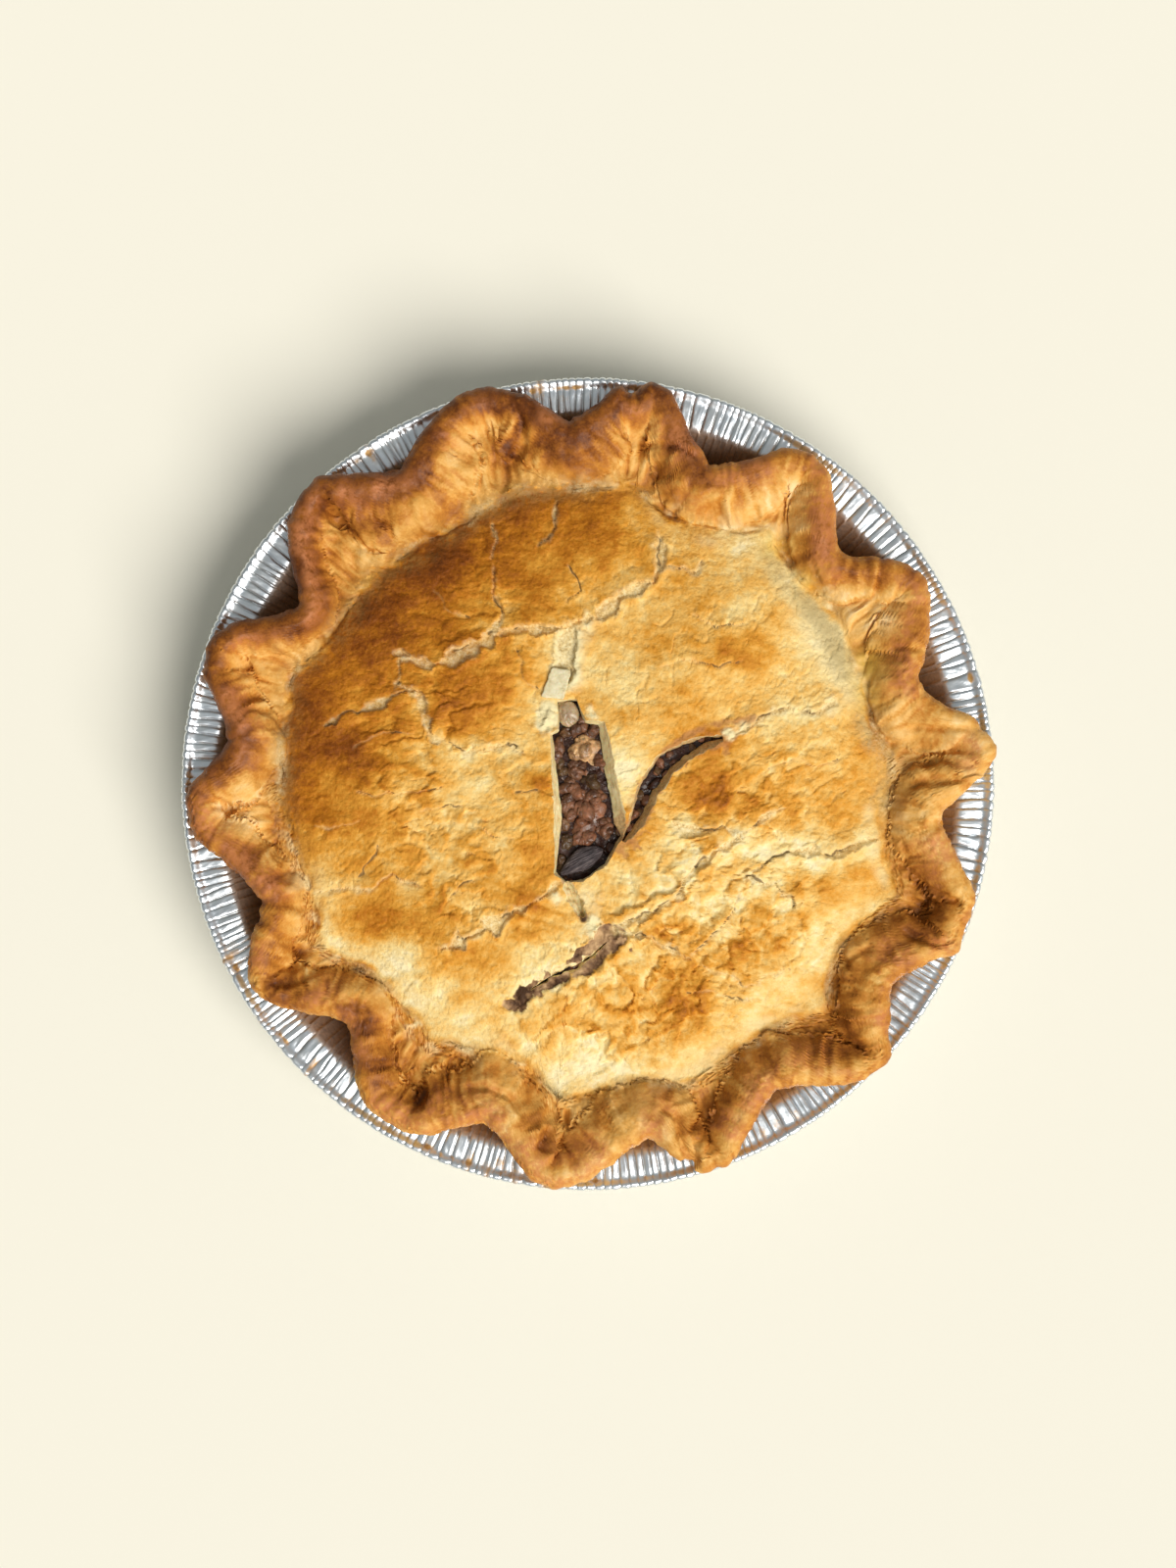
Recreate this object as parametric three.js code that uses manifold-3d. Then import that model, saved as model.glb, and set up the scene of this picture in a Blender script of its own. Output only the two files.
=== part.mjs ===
// A nine-inch pot pie in its foil tin: a pleated tin, one crust with a thumb-fluted rim, and the
// meat filling that shows through the vents cut in the lid. Millimetres, +Z up. The origin is the
// middle of the tin's flat foot; +Y is the top edge of the pie as it is seen from above.
import * as THREE from 'three';
import { mergeVertices } from 'three/addons/utils/BufferGeometryUtils.js';
import Module from 'manifold-3d';

const wasm = await Module();
wasm.setup();

// ---- driving dimensions ----

const tin = {
  rimRadius: 122, // a 9 5/8 inch top, over the bead
  mouthRadius: 111, // where the wall meets the flange
  footRadius: 90.5,
  footFlat: 88,
  footRise: 1.2, // the small curve from the foot into the wall
  mouthHeight: 28.2,
  flangeRadius: 118.6,
  flangeHeight: 28.8,
  foil: 0.4,
  pleatDepth: 0.3,
  pleats: 72,
};

const crust = {
  tinGap: 0.85, // room for the pleats and a clear gap
  baseHeight: 1.3,
  thickness: 4,
  gutterHeight: 33, // the crease between lid and rim
  lidRadius: 91, // the crease's mean radius, which shapes the lid's middle
  lidRound: 60, // inside this the lid is round
  lidFluted: 82, // and outside this it follows the crease
  lidRise: 11.5,
  lobeCrest: 40.2,
  notchCrest: 41.8,
  rollDepth: 5, // from a crest down to the widest line of the roll
  lobeRoll: 6.5, // from a crest out to the roll's edge
  notchRoll: 5.5,
  segments: 168,
};

const filling = {
  floor: 4.9,
  floorRadius: 87,
  waistHeight: 19,
  waistRadius: 96,
  shoulderHeight: 25,
  shoulderRadius: 92,
  gap: 0.35,
  segments: 36,
};

// One row for each thumb-pressed flute, anticlockwise from +X. Angles in degrees, radii in mm:
// reach is the lobe's edge and bite the notch's, pocket and foot are where they meet the lid.
const flutes = [
  { lobeAt: 4.8, reach: 121.4, pocket: 96.5, broad: 1.1, notchAt: 17.2, bite: 103.3, foot: 86.3 },
  { lobeAt: 31.0, reach: 117.5, pocket: 98.0, broad: 0.8, notchAt: 42.8, bite: 102.2, foot: 87.8 },
  { lobeAt: 55.0, reach: 118.3, pocket: 97.0, broad: 0.9, notchAt: 69.0, bite: 101.2, foot: 83.1 },
  { lobeAt: 81.0, reach: 120.9, pocket: 95.5, broad: 0.8, notchAt: 93.0, bite: 107.7, foot: 88.3 },
  { lobeAt: 105.6, reach: 121.8, pocket: 98.0, broad: 0.6, notchAt: 121.0, bite: 108.7, foot: 86.6 },
  { lobeAt: 134.5, reach: 121.2, pocket: 99.5, broad: 0.7, notchAt: 148.3, bite: 101.2, foot: 88.0 },
  { lobeAt: 159.5, reach: 120.4, pocket: 101.0, broad: 0.8, notchAt: 173.3, bite: 107.7, foot: 91.0 },
  { lobeAt: 183.0, reach: 120.0, pocket: 98.0, broad: 0.9, notchAt: 199.2, bite: 102.9, foot: 88.9 },
  { lobeAt: 210.8, reach: 116.5, pocket: 99.0, broad: 0.9, notchAt: 225.0, bite: 101.0, foot: 85.4 },
  { lobeAt: 239.5, reach: 117.1, pocket: 97.0, broad: 0.6, notchAt: 252.8, bite: 104.8, foot: 84.5 },
  { lobeAt: 264.6, reach: 120.9, pocket: 100.5, broad: 0.9, notchAt: 279.6, bite: 106.9, foot: 89.2 },
  { lobeAt: 287.0, reach: 120.5, pocket: 99.0, broad: 0.8, notchAt: 301.3, bite: 106.6, foot: 91.0 },
  { lobeAt: 316.4, reach: 121.9, pocket: 102.5, broad: 1.0, notchAt: 327.0, bite: 107.7, foot: 89.5 },
  { lobeAt: 340.0, reach: 121.1, pocket: 101.0, broad: 0.7, notchAt: 354.0, bite: 105.1, foot: 89.2 },
];

// The open vent: its edge at the lid's face and, tighter, at the filling.
const ventTop = [
  [-2.9, 25.4], [5.3, 18.4], [8.6, 4.0], [12.6, -12.0], [11.4, -16.0], [6.0, -24.4],
  [-1.2, -29.2], [-7.0, -29.6], [-10.2, -26.4], [-10.2, -9.7], [-11.4, 14.8], [-9.6, 25.0],
];
const ventFloor = [
  [-2.6, 24.8], [3.1, 17.7], [5.1, 4.0], [7.7, -11.7], [9.6, -15.2], [5.0, -23.8],
  [-1.4, -28.6], [-6.6, -28.9], [-9.5, -26.0], [-7.6, -9.7], [-10.4, 14.4], [-9.2, 24.3],
];
const ventMiddle = [-1, -4];

// The slits that opened as narrow mouths: the line each follows and its width there.
const slits = [
  {
    path: [[11.6, -15], [14.7, -11.2], [17.9, -2], [23.2, 6.2], [29, 9.8], [35, 12.8], [39, 13.6]],
    width: 5.2,
  },
  { path: [[5.6, -46.6], [1, -51], [-5, -54.6], [-11.5, -57.2], [-17, -61]], width: 4.4 },
  { path: [[-6.6, -28], [-4.6, -32.5], [-1.2, -39.5]], width: 3.4 },
];

// Cracks where the baking lid split: each is a line on the lid, from end to end.
const cracks = [
  [[23.8, 73.3], [20.6, 69.4], [19, 63.1], [15.1, 58.4], [9.6, 52.9], [0.9, 48.1], [-6.1, 42.6]],
  [[21.4, 64.7], [26.1, 62.3], [31.6, 63.1], [34.5, 66.7]],
  [[-29, 66.2], [-27.4, 58], [-25, 49.7], [-35.3, 37.9], [-46.3, 34.8], [-54.1, 38.7], [-59.2, 44.2]],
  [[-25, 47.4], [-16.4, 45], [-6.1, 42.6], [-7.7, 35.6], [-6.6, 29.3], [-5.4, 26.2]],
  [[-54.1, 33.2], [-50.7, 26.1], [-48.2, 17.5], [-44.7, 12.7], [-35.3, 10.1], [-24.2, 11.6], [-14.4, 14.6]],
  [[-50.7, 28.5], [-60.4, 24.9], [-71.5, 20.6], [-79, 16.5]],
  [[-79, -35], [-71.5, -32.9], [-60.4, -31.3], [-54.1, -27.4]],
  [[-11.3, -31.6], [-14.8, -34.5], [-22.7, -39.2], [-35.3, -47.1], [-42.3, -50.7]],
  [[43, 14.4], [51.3, 19.8], [59.2, 22.6], [66.3, 20.6], [74.9, 24.2]],
  [[82, -14.6], [75.7, -18], [67.8, -16.9], [60, -19.2], [52.1, -13.2], [43.4, -15.6], [34, -12.9]],
  [[10.5, -41], [13.5, -42.8], [23, -44.7], [30.1, -48.2], [35.6, -46.3], [41.9, -41.6]],
];
const crack = { width: 2.6, depth: 1.1 };

// A torn square of pastry that stands over the head of the vent.
const flap = { at: [-9.8, 29.6], size: [6.6, 5.2, 2.2], sunk: 0.4, turn: 0.12 };

const mushroom = { at: [-2.1, -22.9, 40.4], size: [6.3, 3.3, 1.5], turn: 0.54 };
const onion = { at: [-6, 20.9, 41], size: [2.3, 2.7, 1.5], turn: 0.3 };

// The larger lumps of mince in the vent, then loose crumbs between them.
const lumps = [
  { at: [-0.9, 9.2], size: [4.6, 4.4, 2.6] },
  { at: [1.6, 0.9], size: [3.1, 3, 2.2] },
  { at: [-0.6, -10.4], size: [4.9, 5.2, 2.7] },
  { at: [-6.6, 2.2], size: [2.4, 3.4, 1.9] },
];
const crumbs = { count: 8, smallest: 1.5, largest: 2.5, seed: 7 };

// ---- small helpers ----

const joined = (solids) => solids.reduce((all, one) => all.add(one));
const mix = (a, b, t) => a + (b - a) * t;
const clamp01 = (t) => Math.min(1, Math.max(0, t));
const smooth = (t) => clamp01(t) ** 2 * (3 - 2 * clamp01(t));
const turn = (degrees) => (degrees * Math.PI) / 180;

function seededRandom(seed) {
  let state = seed;
  return () => {
    state = (state * 16807) % 2147483647;
    return state / 2147483647;
  };
}

// A closed skin over rings of points, from one end point to the other. Looking along the rings
// from the first end they run anticlockwise. A ring may have half or twice the points of the last.
function skin(firstEnd, rings, lastEnd) {
  const points = [firstEnd, ...rings.flat(), lastEnd];
  const faces = [];
  const starts = [];
  let next = 1;
  for (const ring of rings) {
    starts.push(next);
    next += ring.length;
  }
  const at = (k, i) => starts[k] + (i % rings[k].length);
  const last = rings.length - 1;
  for (let i = 0; i < rings[0].length; i += 1) faces.push(0, at(0, i), at(0, i + 1));
  for (let k = 0; k < last; k += 1) {
    const here = rings[k].length;
    const there = rings[k + 1].length;
    const steps = Math.min(here, there);
    for (let i = 0; i < steps; i += 1) {
      if (here === there) {
        faces.push(at(k, i), at(k + 1, i), at(k + 1, i + 1));
        faces.push(at(k, i), at(k + 1, i + 1), at(k, i + 1));
      } else if (there > here) {
        faces.push(at(k, i), at(k + 1, 2 * i), at(k + 1, 2 * i + 1));
        faces.push(at(k, i), at(k + 1, 2 * i + 1), at(k, i + 1));
        faces.push(at(k, i + 1), at(k + 1, 2 * i + 1), at(k + 1, 2 * i + 2));
      } else {
        faces.push(at(k, 2 * i), at(k + 1, i), at(k, 2 * i + 1));
        faces.push(at(k, 2 * i + 1), at(k + 1, i), at(k + 1, i + 1));
        faces.push(at(k, 2 * i + 1), at(k + 1, i + 1), at(k, 2 * i + 2));
      }
    }
  }
  const end = points.length - 1;
  for (let i = 0; i < rings[last].length; i += 1) faces.push(at(last, i), end, at(last, i + 1));
  const geometry = new THREE.BufferGeometry();
  geometry.setAttribute('position', new THREE.Float32BufferAttribute(points.flat(), 3));
  geometry.setIndex(faces);
  return geometry;
}

// A ring of count points round the axis; shape gives [radius, height] for an angle in radians.
function ringOf(count, shape) {
  const ring = [];
  for (let i = 0; i < count; i += 1) {
    const angle = (i / count) * 2 * Math.PI;
    const [radius, height] = shape(angle, i);
    ring.push([radius * Math.cos(angle), radius * Math.sin(angle), height]);
  }
  return ring;
}

function toManifold(geometry) {
  const bare = geometry.clone();
  bare.deleteAttribute('normal');
  bare.deleteAttribute('uv');
  const merged = mergeVertices(bare);
  return new wasm.Manifold(new wasm.Mesh({
    numProp: 3,
    vertProperties: new Float32Array(merged.attributes.position.array),
    triVerts: new Uint32Array(merged.index.array),
  }));
}

function fromManifold(solid) {
  const mesh = solid.getMesh();
  const geometry = new THREE.BufferGeometry();
  geometry.setAttribute('position', new THREE.BufferAttribute(mesh.vertProperties, 3));
  geometry.setIndex(new THREE.BufferAttribute(mesh.triVerts, 1));
  return geometry;
}

// ---- the crust's form ----

// The rim at an angle: how far out its edge is, the crease where it meets the lid, and lobe, which
// is 1 on a lobe and 0 in a notch.
function rimAt(angle) {
  const degrees = ((((angle * 180) / Math.PI) % 360) + 360) % 360;
  const stops = [];
  for (const round of [-360, 0, 360]) {
    for (const flute of flutes) {
      const { lobeAt, reach, pocket, broad, notchAt, bite, foot } = flute;
      stops.push({ at: lobeAt + round, lobe: 1, edge: reach, crease: pocket, broad });
      stops.push({ at: notchAt + round, lobe: 0, edge: bite, crease: foot });
    }
  }
  const k = stops.findIndex((stop, i) => stop.at <= degrees && degrees < stops[i + 1].at);
  const [before, after] = [stops[k], stops[k + 1]];
  const [peak, dip] = before.lobe ? [before, after] : [after, before];
  const away = Math.abs((degrees - peak.at) / (dip.at - peak.at));
  const lobe = 0.5 + 0.5 * Math.cos(Math.PI * away);
  const tongue = (1 - (1 - away) ** 2) ** 0.6; // round at the notch, pointed behind the lobe
  return {
    lobe,
    edge: mix(dip.edge, peak.edge, lobe ** peak.broad),
    crease: mix(peak.crease, dip.crease, tongue),
  };
}

// The lid's face above a point: a dome that rolls off into the crease, with low lumps.
function lidHeight(x, y) {
  const radius = Math.hypot(x, y);
  const fluted = smooth((radius - crust.lidRound) / (crust.lidFluted - crust.lidRound));
  const edge = mix(crust.lidRadius, rimAt(Math.atan2(y, x)).crease, fluted);
  const share = clamp01(radius / edge);
  const dome = (1 - share ** 2.4) ** 0.85;
  const lumps = 0.55 * Math.sin(x / 13 + 1) * Math.cos(y / 15) + 0.4 * Math.sin((x - y) / 9 + 2);
  return crust.gutterHeight + crust.lidRise * dome + lumps * Math.min(1, 3 * dome);
}

// The radius of the tin's inner wall at a height.
function tinWall(height) {
  const foot = tin.footRise + tin.foil;
  const mouth = tin.mouthHeight + tin.foil / 2;
  return mix(tin.footRadius, tin.mouthRadius - tin.foil / 2, (height - foot) / (mouth - foot));
}

// A point of the crust's underside, drawn in where the tin's wall would touch it.
function clearOfTin([radius, height]) {
  const seat = tin.flangeHeight + crust.tinGap;
  const wall = tinWall(Math.min(height, tin.mouthHeight)) - crust.tinGap;
  return [height < seat ? Math.min(radius, wall) : radius, height];
}

// The rim's section from the crease over the roll and down inside the tin, as rings.
function rimRings() {
  const { segments, gutterHeight, rollDepth, tinGap } = crust;
  const crestOf = (rim) => ({
    radius: rim.edge - mix(crust.notchRoll, crust.lobeRoll, rim.lobe),
    height: mix(crust.notchCrest, crust.lobeCrest, rim.lobe),
  });
  const slope = (share) => ringOf(segments, (angle) => {
    const rim = rimAt(angle);
    const crest = crestOf(rim);
    const roll = Math.sqrt(1 - (1 - share) ** 2); // a notch pushes a round roll inwards
    const pocket = smooth((share - 0.1) / 0.9); // a lobe leaves a hollow behind it
    const rise = mix(roll, pocket, smooth(rim.lobe));
    return [mix(rim.crease, crest.radius, share), mix(gutterHeight, crest.height, rise)];
  });
  const over = (tilt) => ringOf(segments, (angle) => {
    const rim = rimAt(angle);
    const crest = crestOf(rim);
    const reach = (rim.edge - crest.radius) * Math.cos(turn(tilt));
    return [crest.radius + reach, crest.height - rollDepth * (1 - Math.sin(turn(tilt)))];
  });
  // below the roll: 0 where the rim drops inside the tin's wall, 1 where it lies on the flange
  const under = (insidePoint, restingPoint) => ringOf(segments, (angle) => {
    const rim = rimAt(angle);
    const [inside, resting] = [insidePoint(rim), restingPoint(rim)];
    const onFlange = smooth((rim.edge - tin.mouthRadius + 2) / 3);
    return clearOfTin([0, 1].map((i) => mix(inside[i], resting[i], onFlange)));
  });
  const seat = tin.flangeHeight + tinGap;
  return [
    slope(0), slope(0.2), slope(0.45), slope(0.72), slope(1),
    over(50), over(0), over(-50),
    under((rim) => [rim.edge - 0.8, 30.8], (rim) => [rim.edge - 3.5, seat + 0.2]),
    under((rim) => [rim.edge - 0.6, 27], () => [tin.mouthRadius - 0.4, seat + 0.3]),
    under((rim) => [rim.edge - 0.6, 17], () => [tin.mouthRadius, 26.4]),
  ];
}

function crustOuter() {
  const { segments, baseHeight, tinGap } = crust;
  // rings from the middle of the lid to its crease, with more points as they grow
  const bands = [[0.07, 8], [0.15, 4], [0.24, 4], [0.34, 4], [0.43, 2], [0.51, 2], [0.59, 2], [0.67, 2],
    [0.75, 2], [0.82, 2], [0.88, 1], [0.93, 1], [0.97, 1]];
  const lid = bands.map(([share, coarser]) => ringOf(segments / coarser, (angle) => {
    const radius = share * rimAt(angle).crease;
    return [radius, lidHeight(radius * Math.cos(angle), radius * Math.sin(angle))];
  }));
  const below = [
    ringOf(segments / 2, () => [tinWall(9) - tinGap, 9]),
    ringOf(segments / 4, () => [tin.footFlat - 0.5, baseHeight]),
    ringOf(segments / 8, () => [40, baseHeight]),
  ];
  return skin([0, 0, lidHeight(0, 0)], [...lid, ...rimRings(), ...below], [0, 0, baseHeight]);
}

// ---- the filling's form ----

// The mass of filling inside the crust; grown makes it larger, for the hollow it lies in.
function fillingMass(grown) {
  const { floor, floorRadius, waistHeight, waistRadius, shoulderHeight, shoulderRadius } = filling;
  const { segments } = filling;
  const top = (share) => ringOf(segments, (angle) => {
    const radius = share * 0.92 * rimAt(angle).crease;
    const lid = lidHeight(radius * Math.cos(angle), radius * Math.sin(angle));
    return [radius + grown, lid - crust.thickness - filling.gap + grown];
  });
  const ring = (radius, height) => ringOf(segments, () => [radius + grown, height]);
  const rings = [
    top(0.25), top(0.5), top(0.75), top(0.92),
    ring(shoulderRadius, shoulderHeight), ring(waistRadius, waistHeight), ring(floorRadius, floor - grown),
  ];
  const topEnd = lidHeight(0, 0) - crust.thickness - filling.gap + grown;
  return skin([0, 0, topEnd], rings, [0, 0, floor - grown]);
}

const ventDepth = { high: 52, low: 30 };
const ventShare = 0.9; // how much of the vent's outline the lumps of mince may fill

// The open vent as a cutter; share 1 is its true outline and less draws it in about its middle.
function ventCutter(share) {
  const place = (outline, height) => outline
    .map(([x, y]) => [mix(ventMiddle[0], x, share), mix(ventMiddle[1], y, share), height])
    .reverse();
  const surface = lidHeight(...ventMiddle);
  const rings = [
    place(ventTop, ventDepth.high), place(ventTop, surface),
    place(ventFloor, surface - crust.thickness), place(ventFloor, ventDepth.low),
  ];
  return skin([...ventMiddle, ventDepth.high], rings, [...ventMiddle, ventDepth.low]);
}

// Sideways directions at each point of a line, for building a strip along it.
function sideways(path) {
  return path.map((_, i) => {
    const from = path[Math.max(0, i - 1)];
    const to = path[Math.min(path.length - 1, i + 1)];
    const length = Math.hypot(to[0] - from[0], to[1] - from[1]);
    return [(to[1] - from[1]) / length, -(to[0] - from[0]) / length];
  });
}

// A narrow slit as a cutter: widest midway, pinched at its ends, straight down through the lid.
function slitCutter({ path, width }) {
  const sides = sideways(path);
  const inner = path.slice(1, -1);
  const rings = inner.map(([x, y], i) => {
    const along = (i + 1) / (path.length - 1);
    const half = 0.5 * width * Math.sin(Math.PI * along) ** 0.5;
    const [sx, sy] = sides[i + 1];
    return [[1, 'high'], [-1, 'high'], [-1, 'low'], [1, 'low']]
      .map(([side, end]) => [x + side * sx * half, y + side * sy * half, ventDepth[end]]);
  });
  const middle = (ventDepth.high + ventDepth.low) / 2;
  return skin([...path[0], middle], rings, [...path.at(-1), middle]);
}

function flapGeometry() {
  const [length, width, thick] = flap.size;
  const geometry = new THREE.BoxGeometry(length, width, thick, 2, 2, 1);
  geometry.rotateZ(flap.turn);
  geometry.translate(...flap.at, lidHeight(...flap.at) - flap.sunk);
  return geometry;
}

// A crack as a cutter: a groove with a sharp bed, fading out at both ends.
function crackCutter(path) {
  const sides = sideways(path);
  const rings = path.slice(1, -1).map(([x, y], i) => {
    const [sx, sy] = sides[i + 1];
    const face = lidHeight(x, y);
    const above = 1; // the cutter stands this far over the lid
    const half = (crack.width / 2) * (1 + above / crack.depth);
    return [
      [x + sx * half, y + sy * half, face + above],
      [x - sx * half, y - sy * half, face + above],
      [x, y, face - crack.depth],
    ];
  });
  const end = ([x, y]) => [x, y, lidHeight(x, y) + 0.4];
  return skin(end(path[0]), rings, end(path.at(-1)));
}

// The lumps and crumbs of mince that stand up in the vent, on the mass below.
function mincePieces() {
  const random = seededRandom(crumbs.seed);
  const piece = ([x, y], size, detail) => {
    const geometry = new THREE.IcosahedronGeometry(1, detail);
    geometry.rotateX(random() * Math.PI);
    geometry.scale(...size);
    geometry.translate(x, y, lidHeight(x, y) - crust.thickness - 0.3);
    return toManifold(geometry);
  };
  const pieces = lumps.map(({ at, size }) => piece(at, size, 1));
  for (let i = 0; i < crumbs.count; i += 1) {
    const along = (i + 0.5) / crumbs.count;
    const side = i % 2 ? 5.2 : -5.6;
    const size = () => mix(crumbs.smallest, crumbs.largest, random());
    pieces.push(piece([mix(-3.4, 0, along) + side, mix(18, -16, along)], [size(), size(), size()], 0));
  }
  return joined(pieces);
}

// ---- the solids ----

function crustSolid() {
  const hollow = toManifold(fillingMass(filling.gap));
  const vents = [ventCutter(1), ...slits.map(slitCutter)].map(toManifold);
  const split = cracks.map((path) => toManifold(crackCutter(path)));
  const lid = toManifold(crustOuter()).subtract(joined([hollow, ...vents, ...split]));
  return fromManifold(lid.add(toManifold(flapGeometry())));
}

// A flattened, turned pebble: the mushroom slice or the piece of onion, or the room it takes.
function pebble({ at, size, turn: angle }, grown) {
  const geometry = new THREE.SphereGeometry(1, 14, 8);
  geometry.rotateX(Math.PI / 2);
  geometry.scale(...size.map((half) => half + grown));
  geometry.rotateZ(angle);
  geometry.translate(...at);
  return geometry;
}

function fillingSolid() {
  const standing = mincePieces().intersect(toManifold(ventCutter(ventShare)));
  const room = joined([mushroom, onion].map((piece) => toManifold(pebble(piece, filling.gap))));
  return fromManifold(toManifold(fillingMass(0)).add(standing).subtract(room));
}

// The tin: pressed foil with pleats up the wall and across the flange, and a rolled bead.
function tinGeometry() {
  const { rimRadius, mouthRadius, footRadius, footFlat, mouthHeight, flangeRadius, flangeHeight } = tin;
  const { footRise, foil, pleatDepth, pleats } = tin;
  const count = 2 * pleats;
  const fold = (i) => (i % 2 ? pleatDepth : -pleatDepth);
  const plain = (radius, height, coarser = 1) => ringOf(count / coarser, () => [radius, height]);
  const wall = (radius, height, share) => ringOf(count, (_, i) => [radius + fold(i) * share, height]);
  const shelf = (radius, height) => ringOf(count, (_, i) => [radius, height - fold(i)]);
  const rings = [
    plain(footFlat / 2, foil, 4), plain(footFlat, foil, 2),
    wall(footRadius, footRise + foil, 0.4), wall(mouthRadius - foil / 2, mouthHeight + foil / 2, 1),
    shelf(flangeRadius - foil, flangeHeight + foil / 2),
    plain(rimRadius - 2.4, flangeHeight + 1.3), plain(rimRadius - 0.7, flangeHeight + 1.5),
    plain(rimRadius, flangeHeight + 0.2), plain(rimRadius - 2, flangeHeight - 1),
    shelf(flangeRadius, flangeHeight - foil / 2),
    wall(mouthRadius + foil, mouthHeight - foil / 2, 1), wall(footRadius + foil, footRise, 0.4),
    plain(footFlat + foil, 0, 2), plain(footFlat / 2, 0, 4),
  ];
  return skin([0, 0, foil], rings, [0, 0, 0]);
}

// ---- the parts, as they sit together ----

function named(name, geometry, finish) {
  geometry.computeVertexNormals();
  const mesh = new THREE.Mesh(geometry, new THREE.MeshStandardMaterial(finish));
  mesh.name = name;
  return mesh;
}

const pie = new THREE.Group();
pie.add(
  named('foil_tin', tinGeometry(), { color: 0xc9ced2, metalness: 1, roughness: 0.28 }),
  named('crust', crustSolid(), { color: 0xd9963f, metalness: 0, roughness: 0.6 }),
  named('meat_filling', fillingSolid(), { color: 0x5f3a2b, metalness: 0, roughness: 0.4 }),
  named('mushroom_slice', pebble(mushroom, 0), { color: 0x4b4546, metalness: 0, roughness: 0.45 }),
  named('onion_piece', pebble(onion, 0), { color: 0xb8a88c, metalness: 0, roughness: 0.35 }),
);

export default pie;
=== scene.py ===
import math

import bpy
import numpy as np
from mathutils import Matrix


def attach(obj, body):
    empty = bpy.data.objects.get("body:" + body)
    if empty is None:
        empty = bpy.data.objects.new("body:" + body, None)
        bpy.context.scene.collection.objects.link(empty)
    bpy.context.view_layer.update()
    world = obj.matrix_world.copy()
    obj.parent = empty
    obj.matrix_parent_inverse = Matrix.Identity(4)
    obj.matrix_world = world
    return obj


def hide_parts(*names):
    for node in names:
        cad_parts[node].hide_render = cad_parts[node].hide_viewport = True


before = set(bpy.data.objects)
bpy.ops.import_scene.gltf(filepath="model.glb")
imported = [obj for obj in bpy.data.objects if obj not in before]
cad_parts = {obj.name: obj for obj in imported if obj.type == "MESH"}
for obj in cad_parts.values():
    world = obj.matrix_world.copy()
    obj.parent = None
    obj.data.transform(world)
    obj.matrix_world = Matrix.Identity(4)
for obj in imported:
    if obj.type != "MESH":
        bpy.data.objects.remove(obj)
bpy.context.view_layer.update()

# Lengths in this script are millimetres, in the pie's own frame: origin under the middle of the
# tin, z up, y towards the head of the long vent. makePiece turns them into metres.
mm = 0.001


def mix(a, b, t):
    return a + (b - a) * t


def clip01(t):
    return np.clip(t, 0.0, 1.0)


def smooth(t):
    t = clip01(t)
    return t * t * (3 - 2 * t)


def falloff(away, width, power=2):  # 1 at no distance, about a third at this width
    return np.exp(-((away / width) ** power))


def smoothMax(a, b, width):
    share = clip01(0.5 + 0.5 * (a - b) / width)
    return mix(b, a, share) + width * share * (1 - share)


def latticeValue(ix, iy, seed):
    n = (ix * 374761393 + iy * 668265263 + seed * 974634777) & 0xFFFFFFFF
    n = ((n ^ (n >> 13)) * 1274126177) & 0xFFFFFFFF
    n = ((n ^ (n >> 16)) * 2246822519) & 0xFFFFFFFF
    return ((n ^ (n >> 15)) & 0xFFFFFF) / 16777215.0


def bumps(x, y, seed=0):  # smooth noise from -1 to 1, one bump to a unit
    ix = np.floor(x).astype(np.int64)
    iy = np.floor(y).astype(np.int64)
    u = x - ix
    v = y - iy
    u = u * u * u * (u * (u * 6 - 15) + 10)
    v = v * v * v * (v * (v * 6 - 15) + 10)
    low = mix(latticeValue(ix, iy, seed), latticeValue(ix + 1, iy, seed), u)
    high = mix(latticeValue(ix, iy + 1, seed), latticeValue(ix + 1, iy + 1, seed), u)
    return 2 * mix(low, high, v) - 1


def rough(x, y, octaves=3, seed=0, gain=0.5):  # several sizes of bumps together
    total = 0.0
    size = 1.0
    whole = 0.0
    for k in range(octaves):
        total = total + size * bumps(x * 2 ** k + 17.3 * k, y * 2 ** k - 9.1 * k, seed + k)
        whole += size
        size *= gain
    return total / whole


def lineDistance(x, y, path):  # distance to a line of points, the signed side, and the share along it
    path = np.asarray(path, float)
    steps = np.hypot(*np.diff(path, axis=0).T)
    start = np.concatenate([[0], np.cumsum(steps)])
    best = np.full(x.shape, 1e9)
    side = np.zeros(x.shape)
    along = np.zeros(x.shape)
    for k in range(len(path) - 1):
        ax, ay = path[k]
        bx, by = path[k + 1] - path[k]
        t = clip01(((x - ax) * bx + (y - ay) * by) / steps[k] ** 2)
        away = np.hypot(x - ax - t * bx, y - ay - t * by)
        closer = away < best
        best = np.where(closer, away, best)
        side = np.where(closer, np.sign(bx * (y - ay) - by * (x - ax)), side)
        along = np.where(closer, (start[k] + t * steps[k]) / start[-1], along)
    return best, side, along


def softSpots(x, y, spots):  # each spot is (x, y, radius, strength); they add up
    total = np.zeros(x.shape)
    for sx, sy, radius, strength in spots:
        total += strength * falloff(np.hypot(x - sx, y - sy), radius)
    return total


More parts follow.
